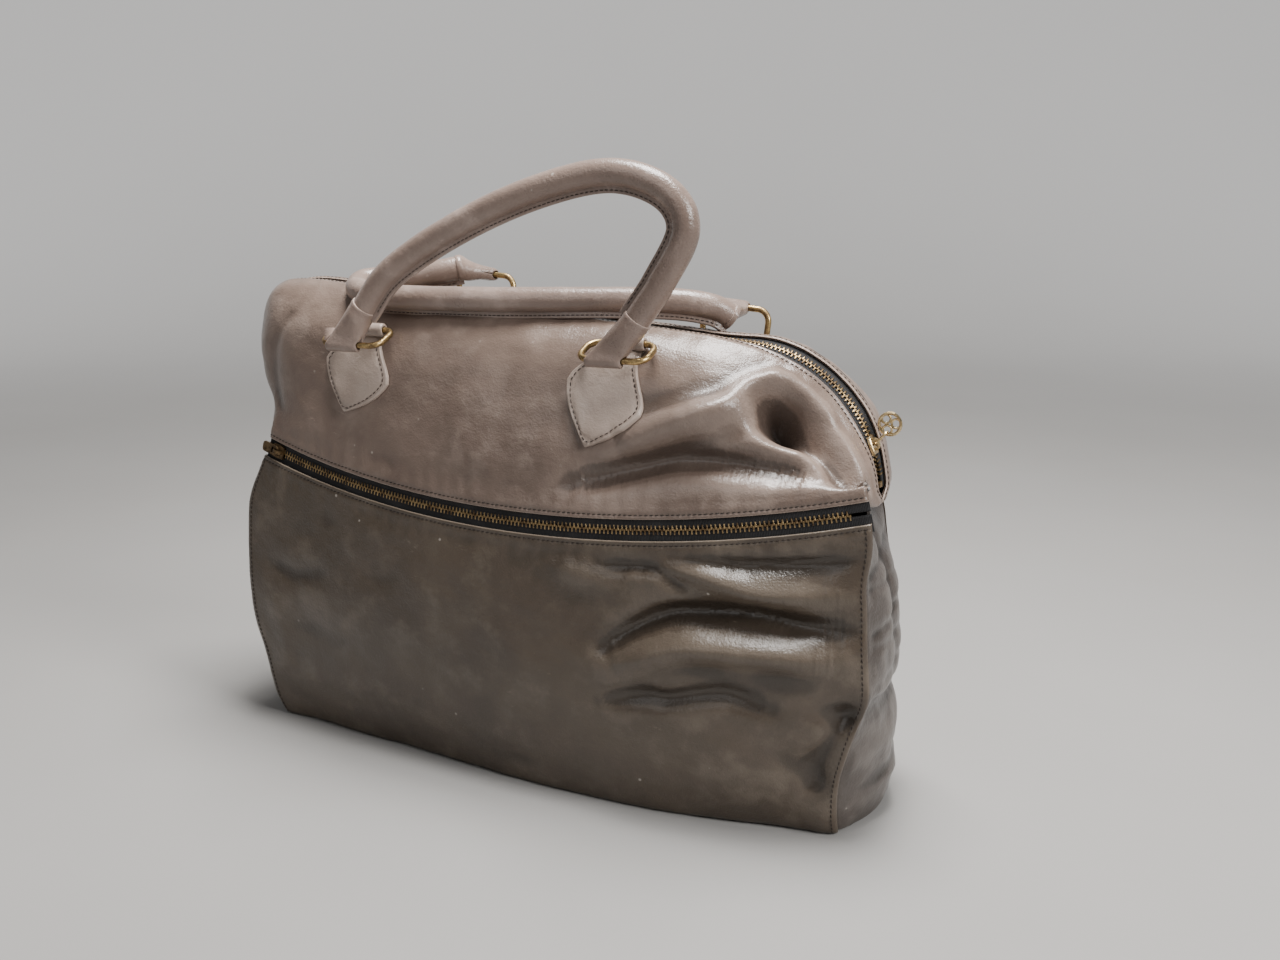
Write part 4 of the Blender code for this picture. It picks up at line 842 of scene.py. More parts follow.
def sew(sheet, low, high, seed, base=False):
    """Gathers, sewn grooves, turned hems and rolled rims; returns the mask of the rims."""
    hold = hems(sheet, low, high)
    sheet.relief *= hold
    gather = soften(sheet, seed, hold)
    rim = np.zeros_like(sheet.relief)
    for sewn, distance in ((low, sheet.height), (high, sheet.below_top)):
        if not sewn:
            continue
        sheet.relief += gather * 0.16 * MM * bump(distance - 9 * MM, 8 * MM)
        sheet.relief -= 0.34 * MM * bump(distance - HEM_STEPS[SEAM_ROW], 0.75 * MM)
        sheet.relief += 0.30 * MM * smooth((8.5 * MM - distance) / (2.5 * MM))
        sheet.relief += rolled_edge(distance, 1.0 * MM, 0.85 * MM)
        rim = np.maximum(rim, smooth(1.0 - distance / (1.1 * MM)))
    for distance in sheet.sides:
        sheet.relief += rolled_edge(distance, 3.6 * MM, 1.9 * MM)
    if base:
        sheet.relief += rolled_edge(sheet.height, 4.5 * MM, 1.6 * MM)
    sheet.settle()
    for distance in (sheet.height, sheet.below_top, *sheet.sides):
        sheet.crease *= smooth((distance - 1 * MM) / (5 * MM))
    return rim


def mirror_sheet(sheet):
    """Turns a sculpted front panel into a back one."""
    for field in ("points", "inside", "normals"):
        setattr(sheet, field, getattr(sheet, field)[:, ::-1] * [1.0, -1.0, 1.0])
    sheet.crease = sheet.crease[:, ::-1]


def front_upper():
    sheet = panel_sheet(upper_surface, UPPER_V, ZIP_OPENING, 1.0)
    # deep pocket that folds in under the right shoulder, and the groove that runs on from it
    sheet.hollow(158, 60, 25.0, 20, 13, -50, 2.8)
    sheet.fold([(143, 78), (152, 68), (164, 56), (178, 42), (192, 25), (203, 9)], -9.5, 7.0)
    sheet.fold([(104, 60), (124, 68), (140, 84), (156, 93), (172, 84), (184, 62)], 5.5, 7.5)
    sheet.fold([(186, 62), (195, 44), (203, 24)], 3.2, 7.0)
    # roll of leather that runs from the right patch into the pocket, and the dip below it
    sheet.fold([(66, 42), (96, 54), (122, 60), (143, 66)], 10.0, 10.0)
    sheet.fold([(40, 21), (72, 29), (104, 34), (136, 31), (160, 25), (180, 19)], -12.0, 9.0)
    sheet.fold([(150, 44), (170, 35), (190, 21)], 2.6, 6.0)
    sheet.fold([(96, 40), (118, 45), (142, 47)], -1.4, 4.5)
    # slack left shoulder
    sheet.hollow(-196, 92, -6.0, 26, 40)
    sheet.fold([(-190, 18), (-198, 50), (-192, 92), (-178, 120)], -2.8, 8.0)
    sheet.fold([(-176, 40), (-150, 62), (-140, 92)], -1.3, 12.0)
    sheet.hollow(-20, 66, 2.6, 70, 24, 8)
    sheet.hollow(40, 84, -2.0, 44, 20, 0)
    return sheet, sew(sheet, True, True, 3)


def front_lower():
    sheet = panel_sheet(lower_surface, LOWER_V, ZIP_OPENING, 1.0)
    # stacked folds that gather towards the pinched right seam
    sheet.fold([(60, 154), (84, 155), (102, 151), (116, 143)], -4.2, 5.0)
    sheet.fold([(96, 160), (137, 162), (175, 165), (206, 170)], -5.0, 5.5)
    sheet.fold([(84, 149), (112, 156), (136, 150), (160, 146), (204, 150)], 6.0, 7.5)
    sheet.fold([(66, 104), (84, 119), (104, 129), (124, 132), (153, 134), (180, 130), (208, 131)],
               -9.0, 6.5)
    sheet.fold([(70, 92), (98, 106), (122, 112), (153, 113), (202, 112)], 11.0, 9.5)
    sheet.fold([(62, 71), (90, 78), (106, 79), (138, 86), (164, 80)], -6.0, 6.5)
    sheet.fold([(18, 149), (50, 145), (80, 139)], 1.8, 8.0)
    sheet.fold([(120, 124), (150, 123), (176, 121)], -0.9, 3.0)
    # pinch above the right corner, its hollow and the flared foot
    sheet.hollow(208, 80, 6.0, 16, 8)
    sheet.fold([(208, 82), (198, 64), (190, 46), (192, 26)], -5.0, 7.0)
    sheet.hollow(180, 44, 3.4, 13, 16, 30)
    sheet.hollow(200, 14, -4.0, 14, 12)
    sheet.hollow(140, 40, -2.5, 34, 24)
    # slack over the rest of the panel
    sheet.hollow(-30, 84, -3.2, 120, 60)
    sheet.fold([(-204, 62), (-176, 76), (-128, 70)], -1.8, 11.0)
    sheet.fold([(-206, 122), (-178, 113), (-140, 118)], -1.5, 8.0)
    sheet.fold([(-200, 34), (-190, 60), (-196, 96)], 1.6, 9.0)
    sheet.fold([(-60, 12), (0, 18), (60, 14)], -0.9, 9.0)
    return sheet, sew(sheet, False, True, 11, base=True)


def back_upper():
    sheet = panel_sheet(upper_surface, UPPER_V, SEAM_GAP, -1.0)
    sheet.hollow(176, 62, -7.0, 22, 20, -40)
    sheet.fold([(130, 70), (150, 62), (170, 44), (194, 22)], -5.0, 8.0)
    sheet.fold([(60, 30), (100, 40), (140, 36), (186, 16)], -3.0, 10.0)
    sheet.hollow(-190, 90, -5.0, 28, 36)
    sheet.fold([(-188, 20), (-176, 60), (-150, 90)], -3.0, 9.0)
    sheet.fold([(-120, 30), (-60, 44), (0, 36)], -1.6, 14.0)
    return sheet, sew(sheet, True, True, 19)


def back_lower():
    sheet = panel_sheet(lower_surface, LOWER_V, SEAM_GAP, -1.0)
    sheet.fold([(80, 150), (120, 158), (160, 152), (206, 158)], -3.6, 7.0)
    sheet.fold([(90, 112), (130, 126), (170, 124), (208, 130)], -5.5, 7.0)
    sheet.fold([(96, 94), (140, 104), (204, 106)], 4.0, 12.0)
    sheet.fold([(-208, 130), (-170, 120), (-120, 128), (-70, 118)], -3.4, 8.0)
    sheet.fold([(-206, 96), (-160, 90), (-110, 96)], 2.4, 12.0)
    sheet.hollow(208, 78, 6.0, 16, 8)
    sheet.fold([(206, 80), (196, 60), (190, 34)], -4.0, 7.0)
    sheet.hollow(10, 80, -3.6, 120, 56)
    sheet.hollow(-208, 74, 4.0, 14, 9)
    return sheet, sew(sheet, True, True, 27, base=True)


FRONT_UPPER, FRONT_UPPER_RIM = front_upper()
FRONT_LOWER, FRONT_LOWER_RIM = front_lower()
BACK_UPPER, BACK_UPPER_RIM = back_upper()
BACK_LOWER, BACK_LOWER_RIM = back_lower()
SIDE_LINES = {(facing, side): np.vstack([sheet.backing[:, -1 if side > 0 else 0] for sheet in pair])
              for facing, pair in ((1, (FRONT_LOWER, FRONT_UPPER)), (-1, (BACK_LOWER, BACK_UPPER)))
              for side in (-1, 1)}
for turned in (BACK_UPPER, BACK_LOWER):
    mirror_sheet(turned)

for label, sheet, rim, finish, slot in (
        ("front_upper_panel", FRONT_UPPER, FRONT_UPPER_RIM, UPPER_HIDE, "upper_leather"),
        ("front_lower_panel", FRONT_LOWER, FRONT_LOWER_RIM, LOWER_HIDE, "lower_leather"),
        ("back_upper_panel", BACK_UPPER, BACK_UPPER_RIM[:, ::-1], UPPER_HIDE, "upper_leather"),
        ("back_lower_panel", BACK_LOWER, BACK_LOWER_RIM[:, ::-1], LOWER_HIDE, "lower_leather")):
    piece = sheet_piece(label + "_hide", sheet, LEATHER, finish, rim)
    finish_piece(piece, "bag", slot, label)


# ---------------------------------------------------------------- gussets and lining

def gusset_sheet(side):
    """End panel between the side edges of the front and back panels, up to the top zip's end."""
    front, back = SIDE_LINES[1, side].copy(), SIDE_LINES[-1, side].copy()
    for line in (front, back):
        line[:, 1] = np.minimum(line[:, 1], -0.3 * MM)
    back[:, 1] *= -1.0
    share = np.concatenate([[0.0, 0.006, 0.015, 0.028, 0.045],
                            np.linspace(0.065, 0.935, 52),
                            [0.955, 0.972, 0.985, 0.994, 1.0]])[None, :, None]
    front, back = front[:, None], back[:, None]
    points = front * (1.0 - share) + back * share
    across = 2.0 * share[..., 0] - 1.0
    z = points[..., 2] / MM
    arch = 1.0 - across ** 2
    levels = [0, 10, 26, 50, 72, 100, 130, 155, 172, 186, 200, 230]
    swell = [13, 16, 20, 14, 8, 9, 10, 6, -2, -7, -4, -2] if side > 0 else \
            [11, 13, 14, 10, 7, 7, 9, 8, 3, -2, -3, -2]
    points[..., 0] += side * np.interp(z, levels, swell) * MM * arch
    if side < 0:
        points = points[:, ::-1]
    sheet = Sheet(points)
    sheet.across = across if side > 0 else across[:, ::-1]
    sheet.z = z
    return sheet


def crumple(sheet, z, depth, wide, tilt=0.0, reach=1.0, centre=0.0):
    """A crease that runs across a gusset at a height in millimetres."""
    line = z + tilt * sheet.across
    fade = np.exp(-((sheet.across - centre) / reach) ** 4)
    sheet.relief += depth * MM * bump((sheet.z - line) * MM, wide * MM) * fade


def gusset(side):
    sheet = gusset_sheet(side)
    for z, depth, wide, tilt, centre in ((160, -1.6, 3.0, 4, 0.0), (146, -0.8, 2.2, -3, -0.4),
                                         (128, -1.4, 3.0, 5, 0.1), (113, -0.8, 2.4, -4, -0.3),
                                         (96, -1.2, 3.0, 3, 0.2), (76, -3.8, 6.0, -5, -0.2),
                                         (54, 2.0, 9.0, 6, -0.2), (34, -1.6, 5.0, 9, 0.3),
                                         (180, -2.0, 5.0, 2, 0.0)):
        crumple(sheet, z, depth, wide, tilt, 1.1, centre)
    sheet.relief -= 3.0 * MM * bump(sheet.across, 0.16) * smooth((sheet.z - 60) / 60)
    sheet.relief += speckle(sheet.points, 0.030, 3, 5 + side) * 1.0 * MM
    for distance in sheet.sides:
        sheet.relief *= smooth(distance / (8 * MM))
        sheet.relief += rolled_edge(distance, 1.6 * MM, 0.3 * MM)
    sheet.relief += rolled_edge(sheet.height, 4.0 * MM, 1.0 * MM)
    sheet.relief *= smooth(sheet.below_top / (14 * MM))
    sheet.settle()
    for distance in sheet.sides:
        sheet.crease *= smooth((distance - 1 * MM) / (6 * MM))
    name = "right_gusset" if side > 0 else "left_gusset"
    piece = sheet_piece(name + "_hide", sheet, GUSSET_LEATHER, SIDE_HIDE, np.zeros_like(sheet.z))
    return finish_piece(piece, "bag", "side_leather", name)


gusset(1)
gusset(-1)


def lining():
    """Loose cloth cup that hangs a little way inside the deepest folds of the panels."""
    columns = np.linspace(18, len(PANEL_U) - 19, 70).astype(int)
    loops = []
    for front, back, rows in ((FRONT_LOWER, BACK_LOWER, (6, 20, 36, 52, 68, 84, 94)),
                              (FRONT_UPPER, BACK_UPPER, (16, 30, 44, 58, 72, 84))):
        for row in rows:
            loops.append(np.vstack([front.inside[row, columns], back.inside[row, columns]]))
    loops = np.array(loops)
    loops[..., 2] = np.maximum(loops[..., 2], 5.4 * MM)
    middle = loops.mean(axis=1, keepdims=True)
    inner = middle + (loops - middle) * (1.0 - 0.014)
    inner[0, :, 2] += 0.9 * MM
    verts, faces = loft(np.concatenate([loops, inner[::-1]]))
    run = np.tile(np.linspace(0.0, 0.8, loops.shape[1]), 2 * len(loops))
    piece = add_mesh("lining_cloth", verts, faces, LINING_CLOTH, {"run": run})
    return finish_piece(piece, "bag", "lining_cloth", "lining")


lining()


# ---------------------------------------------------------------- zips

JOINTS = {joint["name"]: joint for joint in frame["joints"]}


def joint_point(name):
    return np.array(JOINTS[name]["pos_m"], float)


TOP_SLIDER_ANGLE = math.radians(22.0)
SLIDER_AT = LEFT_RUN + STRAIGHT_RUN + RIGHT_ARC[2] * (RIDGE_TOP - TOP_SLIDER_ANGLE)
TAPE_DEPTH = LEATHER + 0.3 * MM
TAPE_THICKNESS = 0.8 * MM
TAPE_EDGE = 10.5 * MM
OPEN_WIDTH = 2.3 * MM


def top_split(distance):
    """Half the gap between the two rows of the top zip, which part below the slider."""
    return OPEN_WIDTH * smooth((distance - SLIDER_AT - 3 * MM) / (13 * MM))


def top_row(side, start, stop, across=0.0, depth=CHAIN_DEPTH):
    run = np.arange(start, stop, TOOTH_PITCH / 2)
    point, outward, width = ridge_frame(run)
    points = point - outward * depth + width * (side * (top_split(run) + across))[:, None]
    return (points, outward) if side > 0 else (points[::-1], outward[::-1])


def front_row(side, start, stop, across=0.0, depth=CHAIN_DEPTH):
    run = np.arange(start, stop, TOOTH_PITCH / 2) / ZIP_RADIUS
    point, _, outward, width = front_zip_at(run / (2 * ZIP_HALF_ANGLE) + 0.5)
    points = point - outward * depth + width * side * across
    return (points, outward) if side > 0 else (points[::-1], outward[::-1])


def whole_rows(start, stop):
    """The span cut to a whole number of teeth, so that the two rows stay in step."""
    count = int((stop - start) / TOOTH_PITCH)
    return start + count * TOOTH_PITCH


def zip_teeth(name, rows, nodes):
    piece = grown(name, ROW_TREE, path_object(rows), Pitch=TOOTH_PITCH, Piece=TOOTH, Slant=0.0,
                  Wobble=0.012, Seed=3, Finish=TOOTH_BRASS)
    return finish_piece(piece, "bag", "old_brass", *nodes)


def tape(name, section, run, inner, slot_node, side):
    """One woven half of a zip, with the corded edge that the teeth grip."""
    reach = np.array([0.0, 0.0, 0.4, 1.0, 1.6, 2.2, 3.4, 5.0, 6.6, 8.2, TAPE_EDGE / MM]) * MM
    high = np.array([-0.9, -0.45, 0.0, 0.12, 0.0, -0.25, -0.3, -0.3, -0.3, -0.3, -0.3]) * MM
    low = high - TAPE_THICKNESS * np.array([0.1, 0.9, 1.6, 1.7, 1.5, 1.1, 1, 1, 1, 1, 1])
    upper, lower = [], []
    for at in run:
        point, outward, width = section(at)
        span = inner(at) + reach * (TAPE_EDGE - inner(at)) / TAPE_EDGE
        base = point - outward * (TAPE_DEPTH - 0.3 * MM)
        upper.append(base + width * side * span[:, None] + outward * high[:, None])
        lower.append(base + width * side * span[:, None] + outward * low[:, None])
    verts, faces = shell(np.array(upper), np.array(lower))
    piece = add_mesh(name, verts, faces, ZIP_TAPE,
                     {"run": np.tile(np.repeat(run, len(reach)), 2)}, sharp=60.0)
    return finish_piece(piece, "bag", "tape_cloth", slot_node)


def front_section(at):
    point, _, outward, width = front_zip_at(at / ZIP_RADIUS / (2 * ZIP_HALF_ANGLE) + 0.5)
    return point, outward, width


FRONT_HALF = ZIP_RADIUS * ZIP_HALF_ANGLE
half_pitch = TOOTH_PITCH / 2
top_end = whole_rows(2 * MM, TOP_ZIP_LENGTH - 4 * MM)
zip_teeth("top_zip_teeth", [top_row(1, 2 * MM, top_end),
                            top_row(-1, 2 * MM + half_pitch, top_end + half_pitch)],
          ("top_zip_chain",))
front_start = -FRONT_HALF + 4 * MM
front_end = whole_rows(front_start, FRONT_HALF - 9 * MM)
zip_teeth("front_zip_teeth", [front_row(1, front_start, front_end),
                              front_row(-1, front_start + half_pitch, front_end + half_pitch)],
          ("front_zip_chain", "front_zip_stop_right"))
run = np.linspace(-1 * MM, TOP_ZIP_LENGTH + 1 * MM, 300)
for side, label in ((-1, "front"), (1, "back")):
    tape("top_zip_tape_%s_cloth" % label, ridge_frame, run, lambda at: 0.9 * MM + top_split(at),
         "top_zip_tape_" + label, side)
run = np.linspace(-FRONT_HALF, FRONT_HALF, 260)
for side, label in ((-1, "lower"), (1, "upper")):
    tape("front_zip_tape_%s_cloth" % label, front_section, run, lambda at: 0.9 * MM,
         "front_zip_tape_" + label, side)


# ---------------------------------------------------------------- panel stitching

LIFT = 0.12 * MM
SIDE_SEAM_INSET = 4.2 * MM


def seam(sheet, where, start=0.012, stop=0.988):
    """Points just over one row of the sheet, or over one column of it, and their normals."""
    points, normals = sheet.points[where], sheet.normals[where]
    first, last = int(start * (len(points) - 1)), int(stop * (len(points) - 1)) + 1
    points, normals = points[first:last], normals[first:last]
    return points + normals * LIFT, normals


def side_seam(sheet, distance):
    """The column of the sheet that is nearest to the seam's inset from its side edge."""
    column = int(np.argmin(np.abs(distance[len(distance) // 2] - SIDE_SEAM_INSET)))
    rows = slice(int(0.03 * len(distance)), int(0.93 * len(distance)))
    return seam(sheet, (rows, column), 0.0, 1.0)


def zip_seams(upper, lower):
    return [seam(upper, SEAM_ROW), seam(upper, -1 - SEAM_ROW), seam(lower, -1 - SEAM_ROW)]


for name, lines in (("front_panel_stitches", zip_seams(FRONT_UPPER, FRONT_LOWER)
                     + [side_seam(FRONT_LOWER, distance) for distance in FRONT_LOWER.sides[::-1]]),
                    ("back_panel_stitches", zip_seams(BACK_UPPER, BACK_LOWER))):
    stitching(name, lines, HIDE_THREAD, "bag", "upper_leather")


# ---------------------------------------------------------------- rings and leaves

RING_LENGTH = 42.0 * MM
RING_DEPTH = 21.0 * MM
RING_CORNER = 7.5 * MM
RING_WIRE = 3.8 * MM
LEAF_LENGTH = 66.0 * MM
LEAF_WIDTH = 51.0 * MM
LEAF_NECK = 20.5 * MM
LEAF_THICKNESS = 2.6 * MM
LOOP_THICKNESS = 2.0 * MM
HANDLE_RADIUS = 7.8 * MM
FLANGE_HALF = 1.5 * MM
TAB_SHIFT = 4.2 * MM
TAB_HALF_WIDTH = 11.5 * MM
TAB_HALF_THICKNESS = 4.5 * MM
TAB_BORE_RADIUS = 2.75 * MM
TAB_CUT_HALF = 14.0 * MM
CORD_RADIUS = 5.2 * MM


class Handle:
    """Places of one handle's rings, read from its joints."""

    def __init__(self, name):
        self.name = name
        ring = name + "_ring_%s_swing"
        self.loops = {side: joint_point(ring % side) for side in ("left", "right")}
        self.line = unit(self.loops["right"] - self.loops["left"])
        self.reach = joint_point(name + "_handle_swing") - self.loops["left"]
        self.over = unit(np.cross(self.line, self.reach))

    def bar(self, side):
        return self.loops[side] + self.reach


FRONT = Handle("front")
BACK = Handle("back")


def rounded_box(length, depth, corner, steps):
    path = []
    for sx, sy, start in ((1, 1, 0), (-1, 1, 90), (-1, -1, 180), (1, -1, 270)):
        angles = np.radians(start + np.linspace(0.0, 90.0, steps))
        path.append(np.stack([sx * (length / 2 - corner) + corner * np.cos(angles),
                              sy * (depth / 2 - corner) + corner * np.sin(angles)], -1))
    return np.concatenate(path)


def ring(handle, side):
    """Drawn brass ring; its two straights are rounder at the corners than a true D."""
    centre = handle.loops[side] + handle.reach / 2
    across = unit(handle.reach)
    flat = rounded_box(RING_LENGTH, RING_DEPTH, RING_CORNER, 12)
    points = centre + handle.line * flat[:, :1] + across * flat[:, 1:]
    name = "%s_ring_%s" % (handle.name, side)
    piece = grown(name + "_brass", WIRE_TREE, path_object([(points, handle.over)], closed=True),
                  Radius=RING_WIRE / 2, Sides=20, Finish=OLD_BRASS)
    return finish_piece(piece, name, "old_brass", name)


class Ground:
    """Looks up a sculpted panel at (x, height) places in metres."""

    def __init__(self, sheet):
        self.sheet = sheet
        self.x = sheet.points[..., 0]
        self.height = run_along(sheet.points, 0)

    def place_of(self, point):
        gap = np.linalg.norm(self.sheet.points - point, axis=-1)
        row, column = np.unravel_index(np.argmin(gap), gap.shape)
        return self.x[row, column], self.height[row, column]

    def at(self, x, height):
        """Smoothly weighted point and normal of the surface near a place."""
        gap = np.hypot(self.x - x, self.height - height)
        nearest = np.argpartition(gap.ravel(), 16)[:16]
        local = gap.ravel()[nearest]
        weight = np.exp(-(local / (1.5 * MM)) ** 2)
        weight /= weight.sum()
        spots = self.sheet.points.reshape(-1, 3)[nearest]
        normal = unit((self.sheet.normals.reshape(-1, 3)[nearest] * weight[:, None]).sum(0))
        centre = (spots * weight[:, None]).sum(0)
        shift_x = x - (self.x.ravel()[nearest] * weight).sum()
        shift_h = height - (self.height.ravel()[nearest] * weight).sum()
        up = unit(np.cross(normal, [1.0, 0.0, 0.0]))
        up = up if up[2] > 0 else -up
        return centre + np.array([shift_x, 0.0, 0.0]) + up * shift_h, normal


def leaf_half_width(share):
    """Half width along the leaf, from its neck (0) to its pointed tip (1)."""
    neck, full = LEAF_NECK / 2, LEAF_WIDTH / 2
    widest = 0.47
    rising = neck + (full - neck) * smooth(share / widest)
    t = np.clip((share - widest) / (1.0 - widest), 0.0, 1.0)
    falling = full * (1.0 - 0.34 * t - 0.66 * t ** 2.1) + 0.4 * MM
    return np.where(share < widest, rising, falling)


def leaf(handle, side, sheet, lean, shift):
    """Spade-shaped patch whose neck rolls round the ring's rear bar; returns its seam."""
    ground = Ground(sheet)
    line = handle.line
    loop = handle.loops[side] + line * shift
    x0, h0 = ground.place_of(loop)
    foot, out = ground.at(x0, h0)
    out = unit(out - line * np.dot(out, line))
    rearward = np.cross(line, out)
    rearward = rearward if rearward[2] > 0 else -rearward
    inside = RING_WIRE / 2 + 0.4 * MM
    outside = inside + LOOP_THICKNESS
    gap = max(float(np.dot(loop - foot, out)) - outside, 0.0)
    across = np.concatenate([[-1.0, -0.985, -0.95], np.linspace(-0.9, 0.9, 25), [0.95, 0.985, 1.0]])
    top, under = [], []
    for angle in np.radians(np.linspace(250.0, -78.0, 30)):
        spoke = rearward * math.cos(angle) + out * math.sin(angle)
        row = loop + line * (LEAF_NECK / 2 * across)[:, None]
        round_over = (0.5 * MM * np.abs(across) ** 14)[:, None]
        top.append(row + spoke * (outside - round_over))
        under.append(row + spoke * (inside + round_over * 0.5))
    c, s = math.cos(lean), math.sin(lean)
    start = 4.0 * MM
    seam_line = {-1: [], 1: []}
    for run in np.linspace(start, LEAF_LENGTH, 54):
        share = (run - start) / (LEAF_LENGTH - start)
        half = float(leaf_half_width(np.array(share)))
        lift = 0.5 * MM + gap * float(smooth(1.0 - (run - start) / (11 * MM)))
        swelling = min((run - start) / (9 * MM), 1)
        thick = LOOP_THICKNESS + (LEAF_THICKNESS - LOOP_THICKNESS) * swelling
        high_row, low_row = [], []
        for t in across:
            sideways, down = half * t * c + run * s, run * c - half * t * s
            point, normal = ground.at(x0 + sideways, h0 - down)
            edge_gap = min((1.0 - abs(t)) * half, (1.0 - share) * LEAF_LENGTH * 0.6)
            puff = 0.5 * MM * float(smooth(edge_gap / (9 * MM)))
            groove = 0.5 * MM * float(bump(edge_gap - 3.0 * MM, 0.8 * MM))
            turned = 0.75 * MM * max(1.0 - edge_gap / (0.9 * MM), 0.0) ** 2
            high_row.append(point + normal * (lift + thick + puff - groove - turned))
            low_row.append(point + normal * lift)
        top.append(np.array(high_row))
        under.append(np.array(low_row))
        inset = half - 3.1 * MM
        if run > start + 8 * MM and inset > 0.6 * MM:
            for way in (-1, 1):
                t = way * inset
                point, normal = ground.at(x0 + t * c + run * s, h0 - run * c + t * s)
                seam_line[way].append((point + normal * (lift + thick + 0.12 * MM), normal))
    top, under = np.array(top), np.array(under)
    verts, faces = shell(top, under)
    distance_in = (1.0 - np.abs(across)) * LEAF_WIDTH / 2
    rim = np.tile(smooth(1.0 - distance_in / (0.6 * MM)), (len(top), 1))
    rim[-2:] = 1.0
    masks = {"crease": np.zeros(2 * rim.size),
             "edge": np.concatenate([rim.ravel() * 0.35, np.ones(rim.size) * 0.35])}
    name = "%s_leaf_%s" % (handle.name, side)
    piece = add_mesh(name + "_hide", verts, faces, LEAF_HIDE, masks)
    finish_piece(piece, "bag", "leaf_leather", name)
    border_line = seam_line[-1] + seam_line[1][::-1]
    return np.array([p for p, n in border_line]), np.array([n for p, n in border_line])


FRONT_LEAN = math.radians(-13.0)
leaf_seams = []
for handle, sheet, lean in ((FRONT, FRONT_UPPER, FRONT_LEAN), (BACK, BACK_UPPER, 0.0)):
    for side in ("left", "right"):
        ring(handle, side)
        leaf_seams.append(leaf(handle, side, sheet, lean, 3.0 * MM))
stitching("leaf_stitches", leaf_seams, DARK_THREAD, "bag", "leaf_leather", slant=0.0,
          pitch=3.4 * MM)


# ---------------------------------------------------------------- rolled handles

FRONT_PATH = smooth_line(np.array([
    (-106.5, -57.0, 290.5), (-85.0, -56.3, 315.0), (-40.0, -54.0, 341.5), (12.0, -51.5, 362.5),
    (59.0, -49.0, 372.2), (92.5, -47.5, 363.0), (104.5, -47.0, 342.0), (90.5, -47.5, 313.0),
    (74.5, -48.0, 290.0)]) * MM, 170)
BACK_PATH = smooth_line(np.array([
    (-85.0, 21.5, 312.4), (-96.0, 14.5, 310.2), (-114.0, 7.0, 306.6), (-130.0, -1.0, 305.4),
    (-139.5, -12.0, 304.0), (-134.0, -25.0, 300.0), (-115.0, -31.5, 297.4), (-88.0, -31.0, 296.6),
    (-41.0, -26.0, 297.0), (8.0, -16.0, 297.8), (46.0, -6.0, 298.4), (78.0, 3.0, 298.0),
    (98.0, 12.0, 294.4), (106.5, 19.0, 288.2)]) * MM, 190)


# which way each handle's sewn flange faces
FRONT_INWARD = FRONT_PATH.mean(axis=0) - FRONT_PATH
BACK_INWARD = vec(0.0, 0.3 - 0.6 * smooth((np.linspace(0.0, 1.0, len(BACK_PATH)) - 0.45) / 0.3),
                  -1.0)


def handle_frames(path, inward):
    tangent = unit(np.gradient(path, axis=0))
    inward = unit(inward - tangent * np.sum(inward * tangent, axis=1, keepdims=True))
    return tangent, inward, np.cross(tangent, inward)


def rolled_cover(handle, path, inward):
    """Rolled leather tube with a sewn flange on its inner side and slack creases at the bends."""
    share = np.linspace(0.0, 1.0, len(path))
    tangent, inward, across = handle_frames(path, inward)
    bend = np.linalg.norm(np.gradient(tangent, axis=0), axis=1)
    bend = np.clip(bend / np.percentile(bend, 92), 0.0, 1.0)
    opening = math.asin(FLANGE_HALF / HANDLE_RADIUS)
    around = np.linspace(opening, 2 * math.pi - opening, 44)
    tongue = np.array([(3.1, -1.45), (3.45, -1.1), (3.45, -0.25), (3.05, 0.0), (3.45, 0.25),
                       (3.45, 1.1), (3.1, 1.45)]) * MM + [HANDLE_RADIUS, 0.0]
    run = share * np.linalg.norm(np.diff(path, axis=0), axis=1).sum()
    loops, crease, rim = [], [], []
    for k, point in enumerate(path):
        spoke = inward[k] * np.cos(around)[:, None] + across[k] * np.sin(around)[:, None]
        ring_points = point + spoke * HANDLE_RADIUS
        uneven = np.array([noise.fractal(Vector(p), 0.8, 2.0, 3) for p in
                           (ring_points / 0.014).tolist()])
        facing_in = np.clip(np.cos(around), 0.0, 1.0)
        pleat = np.sin(run[k] * 2 * math.pi / 0.0052 + 2.2 * np.sin(around)) ** 3
        size = (HANDLE_RADIUS + 0.16 * MM * uneven
                + 0.22 * MM * pleat * facing_in * bend[k] ** 2)
        loops.append(np.vstack([point + spoke * size[:, None],
                                point + inward[k] * tongue[:, :1] + across[k] * tongue[:, 1:]]))
        # crease mask: the hide material paints shade where it dips, in the pleat valleys at the
        # bends and the hollows of the unevenness
        crease.append(np.concatenate([uneven * 0.25 + pleat * facing_in * bend[k] * 0.6,
                                      np.zeros(len(tongue))]))
        rim.append(np.concatenate([np.zeros(len(around)), np.ones(len(tongue)) * 0.5]))
    verts, faces = loft(loops)
    cover = add_mesh(handle.name + "_handle_hide", verts, faces, HANDLE_HIDE,
                     {"crease": np.array(crease), "edge": np.array(rim)})
    finish_piece(cover, handle.name + "_handle", "handle_leather",
                           handle.name + "_handle_cover")
    turns = np.linspace(0.0, 2 * math.pi, 24, endpoint=False)
    cord = [point + (inward[k] * np.cos(turns)[:, None] + across[k] * np.sin(turns)[:, None])
            * CORD_RADIUS for k, point in enumerate(path)]
    finish_piece(add_mesh(handle.name + "_handle_cord", *loft(cord), CORE_CORD),
                 handle.name + "_handle", "handle_core", handle.name + "_handle_core")
    seams = []
    for way in (-1, 1):
        line = path + inward * (HANDLE_RADIUS + 1.7 * MM) + across * way * (1.45 * MM + LIFT)
        seams.append((line[4:-4], across[4:-4] * way))
    stitching(handle.name + "_handle_stitches", seams, DARK_THREAD, handle.name + "_handle",
              "handle_leather", slant=0.0, pitch=3.0 * MM)


